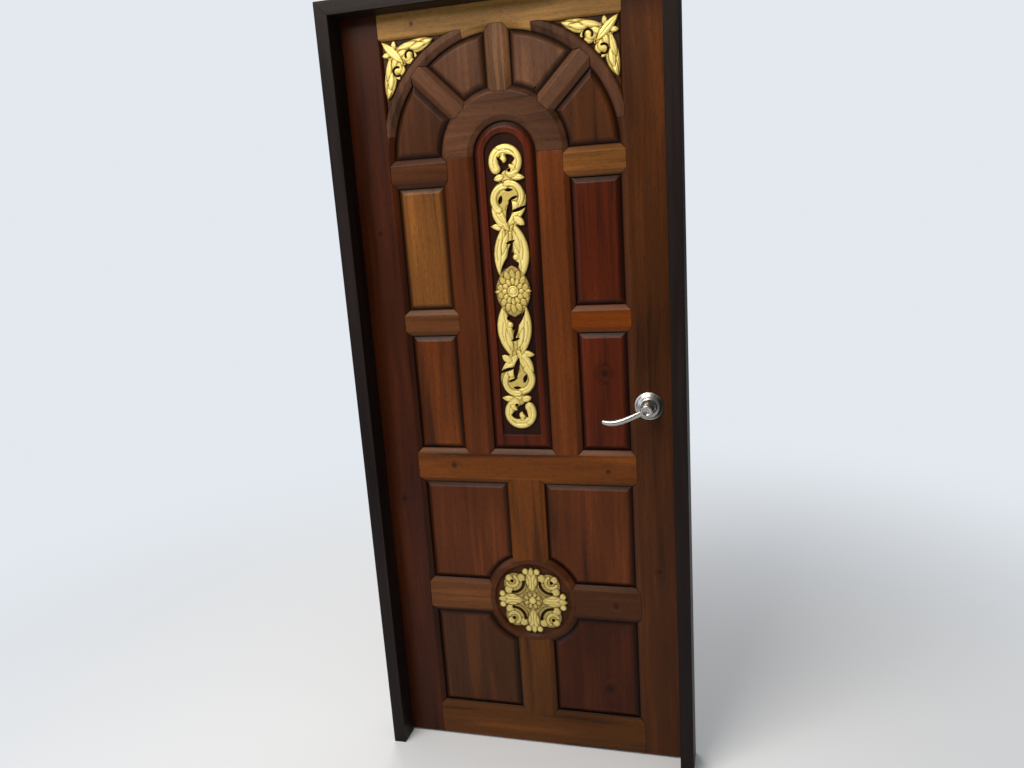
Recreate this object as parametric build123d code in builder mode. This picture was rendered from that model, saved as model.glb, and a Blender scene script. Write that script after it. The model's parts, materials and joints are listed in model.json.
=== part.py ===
"""Carved frame-and-panel door leaf in a rebated hardwood frame, in millimetres.

The origin is on the floor, in the middle of the doorway and of the leaf's thickness.
+X runs to the lock side, +Z up, and the photographed face looks along -Y.
"""
import os
from math import cos, radians, sin, sqrt, tan

from build123d import *

os.makedirs("parts", exist_ok=True)

# Doorway and frame
opening_width = 795.0
opening_height = 2000.0
frame_face = 36.0
frame_front = 82.0
frame_back = 18.0
rebate_width = 12.0
stop_gap = 1.5
arris_radius = 3.0
fixing_radius = 4.5
fixing_base = 130.0
fixing_spacing = 500.0
fixing_count = 4

# Leaf
leaf_thickness = 35.0
edge_gap = 3.0
floor_gap = 6.0
stile_edge = 300.0
top_rail_edge = 1945.0
arch_centre = 1650.0
upper_cross_top = 1641.0
upper_cross_bottom = 1597.0
middle_cross_top = 1257.0
middle_cross_bottom = 1215.0
lock_rail_top = 877.0
lock_rail_bottom = 807.0
lower_cross_top = 492.0
lower_cross_bottom = 416.0
bottom_rail_top = 97.0
arched_half_width = 93.0
ring_radius = 148.0
fan_radius = 301.0
spandrel_radius = 314.0
spoke_half_width = 17.0
slant_spoke_half_width = 15.0
slant_angle = 45.0
lower_mullion_half_width = 38.0
rib_top_x = 86.0
rib_foot_z = 1712.0

# Bevels, grooves and panels
bevel_width = 14.0
bevel_depth = 9.0
small_bevel_width = 5.0
small_bevel_depth = 6.0
groove_depth = 9.0
groove_width = 10.0
tongue_clearance = 1.0
tongue_side_clearance = 0.3
field_recess = 4.5
field_bevel = 14.0
field_margin = 0.5
spandrel_recess = 8.5
arched_border = 27.0
arched_sinking = 5.0
arched_field_bottom = 930.0

# Joints of the joinery
tenon_thickness = 12.0
tenon_length = 45.0
tenon_shoulder = 10.0
stub_length = 18.0
tenon_clearance = 0.1

# Round boss under the rosette
boss_height = 452.5
boss_radius = 120.0
boss_rim = 11.0
boss_inner_bevel = 5.0
boss_sinking = 7.0
scribe_overlap = 6.0

# Carvings
carving_base = 5.0
carving_crown = 4.0
crown_inset = 2.5
corner_margin = 3.0
carving_gap = 1.0
tall_carving_height = 1312.0
tall_carving_shift = 1.5

# Butt hinges
hinge_heights = (230.0, 1010.0, 1790.0)
hinge_length = 100.0
hinge_plate_thickness = 2.2
hinge_plate_inset = 12.0
knuckle_radius = 6.0
knuckle_count = 5
knuckle_gap = 0.3
notch_gap = 0.4
pin_radius = 3.0
pin_clearance = 0.05
pin_head_radius = 5.0
pin_head_height = 2.5
barrel_gap = 0.5
hinge_screw_rows = ((-38.0, 4.0), (-14.0, -4.0), (14.0, -4.0), (38.0, 4.0))

# Countersunk screws
screw_radius = 2.0
screw_head_radius = 4.0
screw_length = 19.0
screw_clearance = 0.1

# Lever lock, levels counted from the leaf's face
lever_height = 1013.0
backset = 70.0
rose_radius = 35.5
rose_rim = 4.0
rose_depth = 15.0
rose_shoulder_radius = 27.0
rose_neck_radius = 18.0
neck_radius = 13.0
neck_gap = 0.3
neck_start = 3.0
hub_start = 18.0
hub_radius = 16.0
hub_end = 60.0
hub_edge = 4.0
grip_level = 53.0
grip_tip_width = 13.0
grip_neck_width = 17.0
grip_depth = 12.0
grip_end_width = 9.0
grip_end_depth = 7.0
grip_run = (-44.0, -19.0)
grip_bend = (-72.0, -29.5)
grip_tip = (-112.0, -27.0)
plug_radius = 6.0
plug_clearance = 0.1
plug_depth = 20.0
keyway_width = 1.6
keyway_height = 8.0
keyway_depth = 6.0
button_width = 4.0
button_height = 11.0
button_proud = 4.5
spindle_size = 8.0
spindle_gap = 0.1
spindle_seat = 16.0
cross_bore_radius = 12.0
latch_radius = 11.0
latch_bore_gap = 0.5
latch_length = 84.0
latch_eye_gap = 0.5
latch_plate_width = 25.0
latch_plate_height = 57.0
latch_plate_thickness = 3.0
latch_screw_spacing = 41.0
bolt_radius = 8.4
bolt_gap = 0.1
bolt_flat = 6.5
bolt_throw = 11.5
bolt_length = 45.0
bolt_bevel = 9.0
strike_thickness = 2.0
strike_height = 70.0
strike_width = 28.0
strike_hole_gap = 1.5
strike_screw_spacing = 54.0
pocket_depth = 16.0

# Sizes that follow
leaf_half = leaf_thickness / 2
half_opening = opening_width / 2
rebate_x = half_opening + rebate_width
rebate_y = -(leaf_half + stop_gap)
frame_x = half_opening + frame_face
head_top = opening_height + frame_face
rebate_top = opening_height + rebate_width
leaf_edge = rebate_x - edge_gap
leaf_top = rebate_top - edge_gap
lever_x = leaf_edge - backset
hinge_x = -(leaf_edge + edge_gap / 2)
hinge_y = frame_back + barrel_gap + knuckle_radius
boss_foot_radius = boss_radius + bevel_width
tongue_inset = bevel_width - groove_depth + tongue_clearance
groove_inset = bevel_width - groove_depth
tongue_half = groove_width / 2 - tongue_side_clearance
field_half = leaf_half - field_recess
left_right = (("left", -1), ("right", 1))
base_align = (Align.CENTER, Align.CENTER, Align.MIN)


def front(level):
    """The plane that is parallel to the leaf's faces and level towards the viewer."""
    return Plane.XZ.offset(level)


def inset(outline, amount):
    """An outline drawn in by an amount, with its corners kept sharp."""
    with BuildSketch() as drawn_in:
        add(outline)
        offset(amount=-amount, kind=Kind.ARC, mode=Mode.REPLACE)
    return drawn_in.sketch


def box_outline(x0, x1, z0, z1):
    """An upright rectangle between two widths and two heights."""
    with BuildSketch() as drawn:
        with Locations(((x0 + x1) / 2, (z0 + z1) / 2)):
            Rectangle(abs(x1 - x0), abs(z1 - z0))
    return drawn.sketch


def disc_outline(x, z, radius):
    """A disc about a point."""
    with BuildSketch() as drawn:
        with Locations((x, z)):
            Circle(radius)
    return drawn.sketch


def spoke_outline(side):
    """The slanting spoke between the two fan openings of one side."""
    with BuildSketch() as drawn:
        with Locations(Location((0, arch_centre), 90 - side * (90 - slant_angle))):
            Rectangle(
                fan_radius + bevel_width,
                2 * slant_spoke_half_width,
                align=(Align.MIN, Align.CENTER),
            )
    return drawn.sketch


# Face outlines of the openings, each as it shows at the leaf's face
def outer_fan_opening(side):
    """The fan opening beside a stile."""
    with BuildSketch() as drawn:
        with BuildLine():
            Polyline(
                (0, upper_cross_top),
                (side * 2 * fan_radius, upper_cross_top),
                (side * 2 * fan_radius, arch_centre + 2 * fan_radius * tan(radians(slant_angle))),
                (0, arch_centre),
                close=True,
            )
        make_face()
        add(disc_outline(0, arch_centre, fan_radius), mode=Mode.INTERSECT)
        add(disc_outline(0, arch_centre, ring_radius), mode=Mode.SUBTRACT)
        add(spoke_outline(side), mode=Mode.SUBTRACT)
    return drawn.sketch


def inner_fan_opening(side):
    """The fan opening beside the upright spoke."""
    with BuildSketch() as drawn:
        with BuildLine():
            Polyline(
                (0, arch_centre),
                (0, arch_centre + 2 * fan_radius),
                (side * 2 * fan_radius, arch_centre + 2 * fan_radius * tan(radians(slant_angle))),
                close=True,
            )
        make_face()
        with Locations((0, arch_centre)):
            Rectangle(2 * spoke_half_width, 4 * fan_radius, mode=Mode.SUBTRACT)
        add(disc_outline(0, arch_centre, fan_radius), mode=Mode.INTERSECT)
        add(disc_outline(0, arch_centre, ring_radius), mode=Mode.SUBTRACT)
        add(spoke_outline(side), mode=Mode.SUBTRACT)
    return drawn.sketch


def spandrel_opening(side):
    """The three-cornered opening above the arch."""
    with BuildSketch() as drawn:
        add(box_outline(0, side * stile_edge, arch_centre, top_rail_edge))
        add(disc_outline(0, arch_centre, spandrel_radius), mode=Mode.SUBTRACT)
    return drawn.sketch


def arched_opening():
    """The tall opening in the middle, with its round head."""
    with BuildSketch() as drawn:
        add(box_outline(-arched_half_width, arched_half_width, lock_rail_top, arch_centre))
        add(disc_outline(0, arch_centre, arched_half_width))
    return drawn.sketch


def lower_opening(side, z0, z1):
    """A lower opening, with the corner by the rosette cut round."""
    with BuildSketch() as drawn:
        add(box_outline(side * lower_mullion_half_width, side * stile_edge, z0, z1))
        add(disc_outline(0, boss_height, boss_radius), mode=Mode.SUBTRACT)
    return drawn.sketch


openings = {"arched_panel": arched_opening()}
for word, side in left_right:
    openings["spandrel_panel_" + word] = spandrel_opening(side)
    openings["outer_fan_panel_" + word] = outer_fan_opening(side)
    openings["inner_fan_panel_" + word] = inner_fan_opening(side)
    openings["upper_side_panel_" + word] = box_outline(
        side * ring_radius, side * stile_edge, middle_cross_top, upper_cross_bottom
    )
    openings["lower_side_panel_" + word] = box_outline(
        side * ring_radius, side * stile_edge, lock_rail_top, middle_cross_bottom
    )
    openings["high_lower_panel_" + word] = lower_opening(side, lower_cross_top, lock_rail_bottom)
    openings["low_lower_panel_" + word] = lower_opening(side, bottom_rail_top, lower_cross_bottom)


def bevel_of(name):
    """The width and depth of the bevel round an opening."""
    if name.startswith("spandrel"):
        return small_bevel_width, small_bevel_depth
    return bevel_width, bevel_depth


feet = {name: inset(face, bevel_of(name)[0]) for name, face in openings.items()}


def bevel_cutter(name):
    """What an opening takes out of the wood round it: a bevel in each face and a groove."""
    width, depth = bevel_of(name)
    with BuildPart() as cutter:
        with BuildSketch(front(leaf_half - depth)):
            add(feet[name])
        with BuildSketch(front(leaf_half)):
            add(openings[name])
        loft(ruled=True)
        with BuildSketch(front(leaf_half)):
            add(openings[name])
        extrude(amount=1)
        mirror(about=Plane.XZ)
        with BuildSketch(front(-groove_width / 2)):
            add(inset(openings[name], width - groove_depth))
        extrude(amount=groove_width)
    return cutter.part


cutters = {name: bevel_cutter(name) for name in openings}


def strip(name, x, z):
    """The bevelled strip of an opening along the side whose middle is nearest to a point."""
    outer = openings[name].edges().sort_by(lambda edge: (edge @ 0.5 - Vector(x, z)).length)[0]
    inner = feet[name].edges().sort_by(lambda edge: (edge @ 0.5 - outer @ 0.5).length)[0]
    start, end = inner @ 0, inner @ 1
    if (outer @ 0 - start).length > (outer @ 0 - end).length:
        start, end = end, start
    with BuildSketch() as drawn:
        with BuildLine():
            add(outer)
            add(inner)
            Line(outer @ 0, start)
            Line(outer @ 1, end)
        make_face()
    return drawn.sketch


def member(faces, strips, cut_by, tenons=(), mortises=(), trims=()):
    """A piece of the leaf's framing: its face, its bevelled strips, its tenons and mortises.

    trims are solids, such as the round boss, that the piece is scribed over.
    """
    with BuildPart() as piece:
        with BuildSketch(front(-leaf_half)):
            for face in faces:
                add(face)
            for piece_strip in strips:
                add(piece_strip)
        extrude(amount=leaf_thickness)
        for name in cut_by:
            add(cutters[name], mode=Mode.SUBTRACT)
        for x0, x1, z0, z1 in tenons:
            with Locations(((x0 + x1) / 2, 0, (z0 + z1) / 2)):
                Box(abs(x1 - x0), tenon_thickness, abs(z1 - z0))
        for x0, x1, z0, z1 in mortises:
            with Locations(((x0 + x1) / 2, 0, (z0 + z1) / 2)):
                Box(
                    abs(x1 - x0) + 2 * tenon_clearance,
                    tenon_thickness + 2 * tenon_clearance,
                    abs(z1 - z0) + 2 * tenon_clearance,
                    mode=Mode.SUBTRACT,
                )
        for trim in trims:
            add(trim, mode=Mode.SUBTRACT)
    return piece.part


def save(part, label):
    """Labels a finished piece and writes it."""
    part.label = label
    export_step(part, "parts/" + label + ".step")


def side_tenon(side, z0, z1):
    """The tenon of a rail into a stile."""
    return (
        side * stile_edge,
        side * (stile_edge + tenon_length),
        z0 + tenon_shoulder,
        z1 - tenon_shoulder,
    )


# Round boss under the rosette, turned, with the same section on both faces
with BuildPart() as boss:
    with BuildSketch(Plane.YZ):
        with BuildLine():
            Polyline(
                (boss_sinking - leaf_half, 0),
                (boss_sinking - leaf_half, boss_radius - boss_rim - boss_inner_bevel),
                (-leaf_half, boss_radius - boss_rim),
                (-leaf_half, boss_radius),
                (bevel_depth - leaf_half, boss_foot_radius),
                (leaf_half - bevel_depth, boss_foot_radius),
                (leaf_half, boss_radius),
                (leaf_half, boss_radius - boss_rim),
                (leaf_half - boss_sinking, boss_radius - boss_rim - boss_inner_bevel),
                (leaf_half - boss_sinking, 0),
                close=True,
            )
        make_face()
    revolve(axis=Axis.Y)
boss_solid = Pos(0, 0, boss_height) * boss.part
with BuildPart() as round_boss:
    add(boss_solid)
    for name in cutters:
        if "lower_panel" in name:
            with BuildPart(mode=Mode.PRIVATE) as groove:
                with BuildSketch(front(-groove_width / 2)):
                    add(inset(openings[name], groove_inset))
                extrude(amount=groove_width)
            add(groove.part, mode=Mode.SUBTRACT)
save(round_boss.part, "round_boss")

# Stiles
rails = {
    "top_rail": (top_rail_edge, leaf_top),
    "upper_cross": (upper_cross_bottom, upper_cross_top),
    "middle_cross": (middle_cross_bottom, middle_cross_top),
    "lock_rail": (lock_rail_bottom, lock_rail_top),
    "lower_cross": (lower_cross_bottom, lower_cross_top),
    "bottom_rail": (floor_gap, bottom_rail_top),
}
side_panels = (
    "upper_side_panel_",
    "lower_side_panel_",
    "high_lower_panel_",
    "low_lower_panel_",
)


def stile(word, side):
    """A stile, with its mortises and its bevelled inner edge."""
    with BuildSketch() as face:
        add(box_outline(side * stile_edge, side * leaf_edge, floor_gap, leaf_top))
        add(
            box_outline(
                side * (stile_edge - bevel_width), side * stile_edge, upper_cross_top, rib_foot_z
            )
        )
        add(disc_outline(0, arch_centre, fan_radius), mode=Mode.SUBTRACT)
    strips = []
    for name in side_panels:
        middle = openings[name + word].bounding_box().center().Y
        strips.append(strip(name + word, side * stile_edge, middle))
    strips.append(strip("spandrel_panel_" + word, side * stile_edge, top_rail_edge - 100))
    with BuildSketch() as fan_strip:
        add(strip("outer_fan_panel_" + word, side * fan_radius, arch_centre + fan_radius / 3))
        add(box_outline(0, side * leaf_edge, arch_centre - 50, rib_foot_z), mode=Mode.INTERSECT)
    strips.append(fan_strip.sketch)
    cut_by = [name + word for name in side_panels]
    cut_by += ["spandrel_panel_" + word, "outer_fan_panel_" + word]
    mortises = [side_tenon(side, z0, z1) for z0, z1 in rails.values()]
    return member([face.sketch], strips, cut_by, mortises=mortises)


# Rails from stile to stile
def full_rail(label, faces, strips, cut_by, mortises=()):
    """A rail with a tenon at each end."""
    tenons = [side_tenon(side, *rails[label]) for word, side in left_right]
    return member(faces, strips, cut_by, tenons, mortises)


def mullion_tenon(x0, x1, z, direction):
    """The stub tenon of a mullion into a rail, up or down from a height."""
    return (
        x0 + tenon_shoulder,
        x1 - tenon_shoulder,
        z,
        z + direction * stub_length,
    )


mullion_span = (arched_half_width, ring_radius)
upper_mullion_tenons = [
    mullion_tenon(
        min(side * mullion_span[0], side * mullion_span[1]),
        max(side * mullion_span[0], side * mullion_span[1]),
        lock_rail_top,
        -1,
    )
    for word, side in left_right
]
high_mullion_tenon = mullion_tenon(
    -lower_mullion_half_width, lower_mullion_half_width, lock_rail_bottom, 1
)
low_mullion_tenon = mullion_tenon(
    -lower_mullion_half_width, lower_mullion_half_width, bottom_rail_top, -1
)

# Top rail, hollowed by the fan
with BuildSketch() as top_rail_face:
    add(box_outline(-stile_edge, stile_edge, top_rail_edge, leaf_top))
    add(box_outline(-rib_top_x, rib_top_x, arch_centre, top_rail_edge))
    add(disc_outline(0, arch_centre, fan_radius), mode=Mode.SUBTRACT)
top_strips = []
for word, side in left_right:
    top_strips.append(strip("spandrel_panel_" + word, side * stile_edge / 2, top_rail_edge))
    with BuildSketch() as fan_strip:
        add(strip("inner_fan_panel_" + word, side * stile_edge / 2, top_rail_edge))
        add(box_outline(0, side * rib_top_x, arch_centre, leaf_top), mode=Mode.INTERSECT)
    top_strips.append(fan_strip.sketch)
top_openings = [
    name for name in openings if name.startswith("spandrel") or name.startswith("inner_fan")
]
save(full_rail("top_rail", [top_rail_face.sketch], top_strips, top_openings), "top_rail")

lock_rail_strips = [strip("arched_panel", 0, lock_rail_top)]
bottom_rail_strips = []
for word, side in left_right:
    x = side * stile_edge / 2
    lock_rail_strips.append(strip("lower_side_panel_" + word, x, lock_rail_top))
    lock_rail_strips.append(strip("high_lower_panel_" + word, x, lock_rail_bottom))
    bottom_rail_strips.append(strip("low_lower_panel_" + word, x, bottom_rail_top))
save(
    full_rail(
        "lock_rail",
        [box_outline(-stile_edge, stile_edge, lock_rail_bottom, lock_rail_top)],
        lock_rail_strips,
        [
            name
            for name in openings
            if name.startswith(("arched", "lower_side", "high_lower"))
        ],
        upper_mullion_tenons + [high_mullion_tenon],
    ),
    "lock_rail",
)
save(
    full_rail(
        "bottom_rail",
        [box_outline(-stile_edge, stile_edge, floor_gap, bottom_rail_top)],
        bottom_rail_strips,
        [name for name in openings if name.startswith("low_lower")],
        [low_mullion_tenon],
    ),
    "bottom_rail",
)

# Short rails, mullions and the arch, a pair of each
for word, side in left_right:
    x = side * (ring_radius + stile_edge) / 2
    upper = "upper_side_panel_" + word
    lower = "lower_side_panel_" + word
    outer_fan = "outer_fan_panel_" + word
    inner_fan = "inner_fan_panel_" + word
    high = "high_lower_panel_" + word
    low = "low_lower_panel_" + word

    save(
        member(
            [box_outline(side * ring_radius, side * stile_edge, upper_cross_bottom, upper_cross_top)],
            [strip(upper, x, upper_cross_bottom), strip(outer_fan, x, upper_cross_top)],
            [upper, outer_fan],
            [side_tenon(side, *rails["upper_cross"])],
        ),
        "upper_cross_rail_" + word,
    )
    save(
        member(
            [
                box_outline(
                    side * ring_radius, side * stile_edge, middle_cross_bottom, middle_cross_top
                )
            ],
            [strip(lower, x, middle_cross_bottom), strip(upper, x, middle_cross_top)],
            [upper, lower],
            [side_tenon(side, *rails["middle_cross"])],
        ),
        "middle_cross_rail_" + word,
    )
    with BuildSketch() as mullion_face:
        add(
            box_outline(side * arched_half_width, side * ring_radius, lock_rail_top, arch_centre)
        )
        add(openings[outer_fan], mode=Mode.SUBTRACT)
    save(
        member(
            [mullion_face.sketch],
            [
                strip(upper, side * ring_radius, (upper_cross_bottom + middle_cross_top) / 2),
                strip(lower, side * ring_radius, (lock_rail_top + middle_cross_bottom) / 2),
                strip("arched_panel", side * arched_half_width, (lock_rail_top + arch_centre) / 2),
            ],
            [upper, lower, outer_fan, "arched_panel"],
            [upper_mullion_tenons[0 if side < 0 else 1]],
        ),
        "upper_mullion_" + word,
    )

    with BuildSketch() as rib_face:
        with Locations((0, arch_centre)):
            Circle(spandrel_radius)
            Circle(fan_radius, mode=Mode.SUBTRACT)
        add(
            box_outline(side * rib_top_x, side * stile_edge, rib_foot_z, top_rail_edge),
            mode=Mode.INTERSECT,
        )
    with BuildSketch() as rib_inner_strips:
        add(strip(inner_fan, side * stile_edge / 2, top_rail_edge))
        add(strip(outer_fan, side * fan_radius, arch_centre + fan_radius / 3))
        add(
            box_outline(side * rib_top_x, side * stile_edge, rib_foot_z, leaf_top),
            mode=Mode.INTERSECT,
        )
    arch_point = (
        side * spandrel_radius * cos(radians(slant_angle)),
        arch_centre + spandrel_radius * sin(radians(slant_angle)),
    )
    save(
        member(
            [rib_face.sketch],
            [rib_inner_strips.sketch, strip("spandrel_panel_" + word, *arch_point)],
            ["spandrel_panel_" + word, inner_fan, outer_fan],
        ),
        "arch_rib_" + word,
    )

    with BuildSketch() as slant_face:
        add(spoke_outline(side))
        add(disc_outline(0, arch_centre, fan_radius), mode=Mode.INTERSECT)
        add(disc_outline(0, arch_centre, ring_radius), mode=Mode.SUBTRACT)
    middle_radius = (ring_radius + fan_radius) / 2
    slant_point = (
        side * middle_radius * cos(radians(slant_angle)),
        arch_centre + middle_radius * sin(radians(slant_angle)),
    )
    save(
        member(
            [slant_face.sketch],
            [strip(inner_fan, *slant_point), strip(outer_fan, *slant_point)],
            [inner_fan, outer_fan],
        ),
        "fan_spoke_" + word,
    )

    with BuildSketch() as cross_face:
        add(box_outline(0, side * stile_edge, lower_cross_bottom, lower_cross_top))
        add(disc_outline(0, boss_height, boss_radius - scribe_overlap), mode=Mode.SUBTRACT)
    save(
        member(
            [cross_face.sketch],
            [strip(high, x, lower_cross_top), strip(low, x, lower_cross_bottom)],
            [high, low],
            [side_tenon(side, *rails["lower_cross"])],
            trims=[boss_solid],
        ),
        "lower_cross_rail_" + word,
    )

# Upright spoke and arch ring
with BuildSketch() as upright_face:
    add(box_outline(-spoke_half_width, spoke_half_width, arch_centre, leaf_top))
    add(disc_outline(0, arch_centre, fan_radius), mode=Mode.INTERSECT)
    add(disc_outline(0, arch_centre, ring_radius), mode=Mode.SUBTRACT)
upright_middle = arch_centre + (ring_radius + fan_radius) / 2
save(
    member(
        [upright_face.sketch],
        [
            strip("inner_fan_panel_" + word, side * spoke_half_width, upright_middle)
            for word, side in left_right
        ],
        ["inner_fan_panel_left", "inner_fan_panel_right"],
    ),
    "fan_spoke_middle",
)
with BuildSketch() as ring_face:
    with Locations((0, arch_centre)):
        Circle(ring_radius)
        Circle(arched_half_width, mode=Mode.SUBTRACT)
    add(box_outline(-ring_radius, ring_radius, arch_centre, leaf_top), mode=Mode.INTERSECT)
ring_strips = [strip("arched_panel", 0, arch_centre + arched_half_width)]
for word, side in left_right:
    ring_strips.append(
        strip("inner_fan_panel_" + word, side * ring_radius / 2, arch_centre + ring_radius)
    )
    ring_strips.append(
        strip("outer_fan_panel_" + word, side * ring_radius, arch_centre + ring_radius / 3)
    )
save(
    member(
        [ring_face.sketch],
        ring_strips,
        ["arched_panel"] + [name for name in openings if "fan_panel" in name],
    ),
    "arch_ring",
)

# Lower mullions, scribed over the boss
for label, z0, z1, row, tenon in (
    ("high_lower_mullion", boss_height, lock_rail_bottom, "high", high_mullion_tenon),
    ("low_lower_mullion", bottom_rail_top, boss_height, "low", low_mullion_tenon),
):
    with BuildSketch() as lower_mullion_face:
        add(box_outline(-lower_mullion_half_width, lower_mullion_half_width, z0, z1))
        add(disc_outline(0, boss_height, boss_radius - scribe_overlap), mode=Mode.SUBTRACT)
    names = [row + "_lower_panel_" + word for word, side in left_right]
    save(
        member(
            [lower_mullion_face.sketch],
            [
                strip(name, side * lower_mullion_half_width, (z0 + z1) / 2)
                for name, (word, side) in zip(names, left_right)
            ],
            names,
            [tenon],
            trims=[boss_solid],
        ),
        label,
    )


# Panels
def raised_panel(name):
    """A panel with a tongue all round and a raised field on each face."""
    edge = bevel_of(name)[0] + field_margin
    with BuildPart() as panel:
        with BuildSketch(front(-tongue_half)):
            add(inset(openings[name], tongue_inset))
        extrude(amount=2 * tongue_half)
        with BuildPart(mode=Mode.PRIVATE) as field:
            with BuildSketch(front(tongue_half)):
                add(inset(openings[name], edge))
            with BuildSketch(front(field_half)):
                add(inset(openings[name], edge + field_bevel))
            loft(ruled=True)
        add(field.part)
        add(mirror(field.part, about=Plane.XZ))
        if name == "arched_panel":
            with BuildSketch() as sinking:
                add(inset(openings[name], edge + arched_border))
                add(
                    box_outline(-ring_radius, ring_radius, 0, arched_field_bottom),
                    mode=Mode.SUBTRACT,
                )
            for start in (field_half - arched_sinking, -field_half):
                with BuildSketch(front(start)):
                    add(sinking.sketch)
                extrude(amount=arched_sinking, mode=Mode.SUBTRACT)
    return panel.part


def flat_panel(name):
    """A spandrel panel: a tongue and a flat field."""
    width = bevel_of(name)[0]
    level = leaf_half - spandrel_recess
    with BuildPart() as panel:
        with BuildSketch(front(-tongue_half)):
            add(inset(openings[name], width - groove_depth + tongue_clearance))
        extrude(amount=2 * tongue_half)
        with BuildSketch(front(-level)):
            add(inset(openings[name], width + field_margin))
        extrude(amount=2 * level)
    return panel.part


for name in openings:
    save(flat_panel(name) if name.startswith("spandrel") else raised_panel(name), name)


# Screws
def screw_body(gap):
    """A countersunk screw, or the hole for one where the gap is above nothing.

    The head's top is at the origin and the shank runs along +X.
    """
    radius = screw_radius + gap
    head = screw_head_radius + gap
    with BuildPart() as body:
        with BuildSketch(Plane.XZ):
            with BuildLine():
                Polyline(
                    (0, 0),
                    (0, head),
                    (head - radius, radius),
                    (screw_length + gap, radius),
                    (screw_length + gap, 0),
                    close=True,
                )
            make_face()
        revolve(axis=Axis.X)
    return body.part


screw = screw_body(0)
screw_hole = screw_body(screw_clearance)
into_leaf = Location((0, 0, 0))
into_frame = Location((0, 0, 0), (0, 0, 180))
hinge_screw_y = (leaf_half + frame_back) / 2 - hinge_plate_inset
plate_front = leaf_half - (leaf_thickness - hinge_plate_inset)


def hinge_screw_places(x, turn):
    """Where the screws of the three hinges go, from the face of their plates."""
    return [
        Location((x, hinge_screw_y + across, height + along)) * turn
        for height in hinge_heights
        for along, across in hinge_screw_rows
    ]


frame_plate_face = -rebate_x
leaf_plate_face = -leaf_edge
strike_face = rebate_x
frame_screw_places = hinge_screw_places(frame_plate_face, into_frame)
leaf_screw_places = hinge_screw_places(leaf_plate_face, into_leaf)
for direction in (-1, 1):
    frame_screw_places.append(
        Location((strike_face, 0, lever_height + direction * strike_screw_spacing / 2)) * into_leaf
    )
    leaf_screw_places.append(
        Location((leaf_edge, 0, lever_height + direction * latch_screw_spacing / 2)) * into_frame
    )


def at_places(solid, places):
    """Copies of a solid at several places."""
    return [place * solid for place in places]


with BuildPart() as frame_screws:
    add(at_places(screw, frame_screw_places))
save(frame_screws.part, "frame_screws")
with BuildPart() as leaf_screws:
    add(at_places(screw, leaf_screw_places))
save(leaf_screws.part, "leaf_screws")


# Butt hinges
def knuckle_middle(row):
    """The height of a knuckle's middle above the middle of its hinge."""
    return (row + 0.5) * hinge_length / knuckle_count - hinge_length / 2


def hinge_plates(face, inward, rows, screw_places):
    """The three plates of one side of the hinges, each with its knuckles."""
    pitch = hinge_length / knuckle_count
    back = face + inward * hinge_plate_thickness
    with BuildPart() as plates:
        for height in hinge_heights:
            with Locations(((face + back) / 2, (plate_front + hinge_y) / 2, height)):
                Box(hinge_plate_thickness, hinge_y - plate_front, hinge_length - knuckle_gap)
            for row in range(knuckle_count):
                with Locations((hinge_x, hinge_y, height + knuckle_middle(row))):
                    if row in rows:
                        Cylinder(knuckle_radius, pitch - knuckle_gap)
                    else:
                        Cylinder(knuckle_radius + notch_gap, pitch, mode=Mode.SUBTRACT)
            with Locations((hinge_x, hinge_y, height)):
                Cylinder(pin_radius + pin_clearance, hinge_length, mode=Mode.SUBTRACT)
        add(at_places(screw_hole, screw_places), mode=Mode.SUBTRACT)
    return plates.part


frame_rows = range(0, knuckle_count, 2)
leaf_rows = range(1, knuckle_count, 2)
save(
    hinge_plates(frame_plate_face, -1, frame_rows, frame_screw_places),
    "frame_hinge_plates",
)
save(hinge_plates(leaf_plate_face, 1, leaf_rows, leaf_screw_places), "leaf_hinge_plates")
with BuildPart() as hinge_pins:
    for height in hinge_heights:
        with Locations((hinge_x, hinge_y, height)):
            Cylinder(pin_radius, hinge_length - knuckle_gap)
        with Locations((hinge_x, hinge_y, height + (hinge_length - knuckle_gap) / 2)):
            Cylinder(
                pin_head_radius,
                pin_head_height,
                align=base_align,
            )
save(hinge_pins.part, "hinge_pins")


# Frame
def frame_length(plane, length, both=False):
    """A length of the rebated frame section, with its opening edge through the plane's origin."""
    with BuildPart() as piece:
        with BuildSketch(plane):
            with BuildLine():
                Polyline(
                    (0, -frame_front),
                    (0, rebate_y),
                    (rebate_width, rebate_y),
                    (rebate_width, frame_back),
                    (frame_face, frame_back),
                    (frame_face, -frame_front),
                    close=True,
                )
            make_face()
            arris = vertices().sort_by(lambda corner: corner.X**2 + (corner.Y + frame_front) ** 2)
            fillet(arris[0], arris_radius)
        extrude(amount=length, both=both)
    return piece.part


with BuildPart() as mitre:
    with BuildSketch(front(-frame_back - 1)):
        with BuildLine():
            Polyline(
                (-half_opening, opening_height),
                (half_opening, opening_height),
                (frame_x, head_top),
                (-frame_x, head_top),
                close=True,
            )
        make_face()
    extrude(amount=frame_front + frame_back + 2)
with BuildPart() as frame_head:
    add(
        frame_length(
            Plane(origin=(0, 0, opening_height), x_dir=(0, 0, 1), z_dir=(-1, 0, 0)),
            frame_x,
            both=True,
        )
    )
    add(mitre.part, mode=Mode.INTERSECT)
save(frame_head.part, "frame_head")

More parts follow.
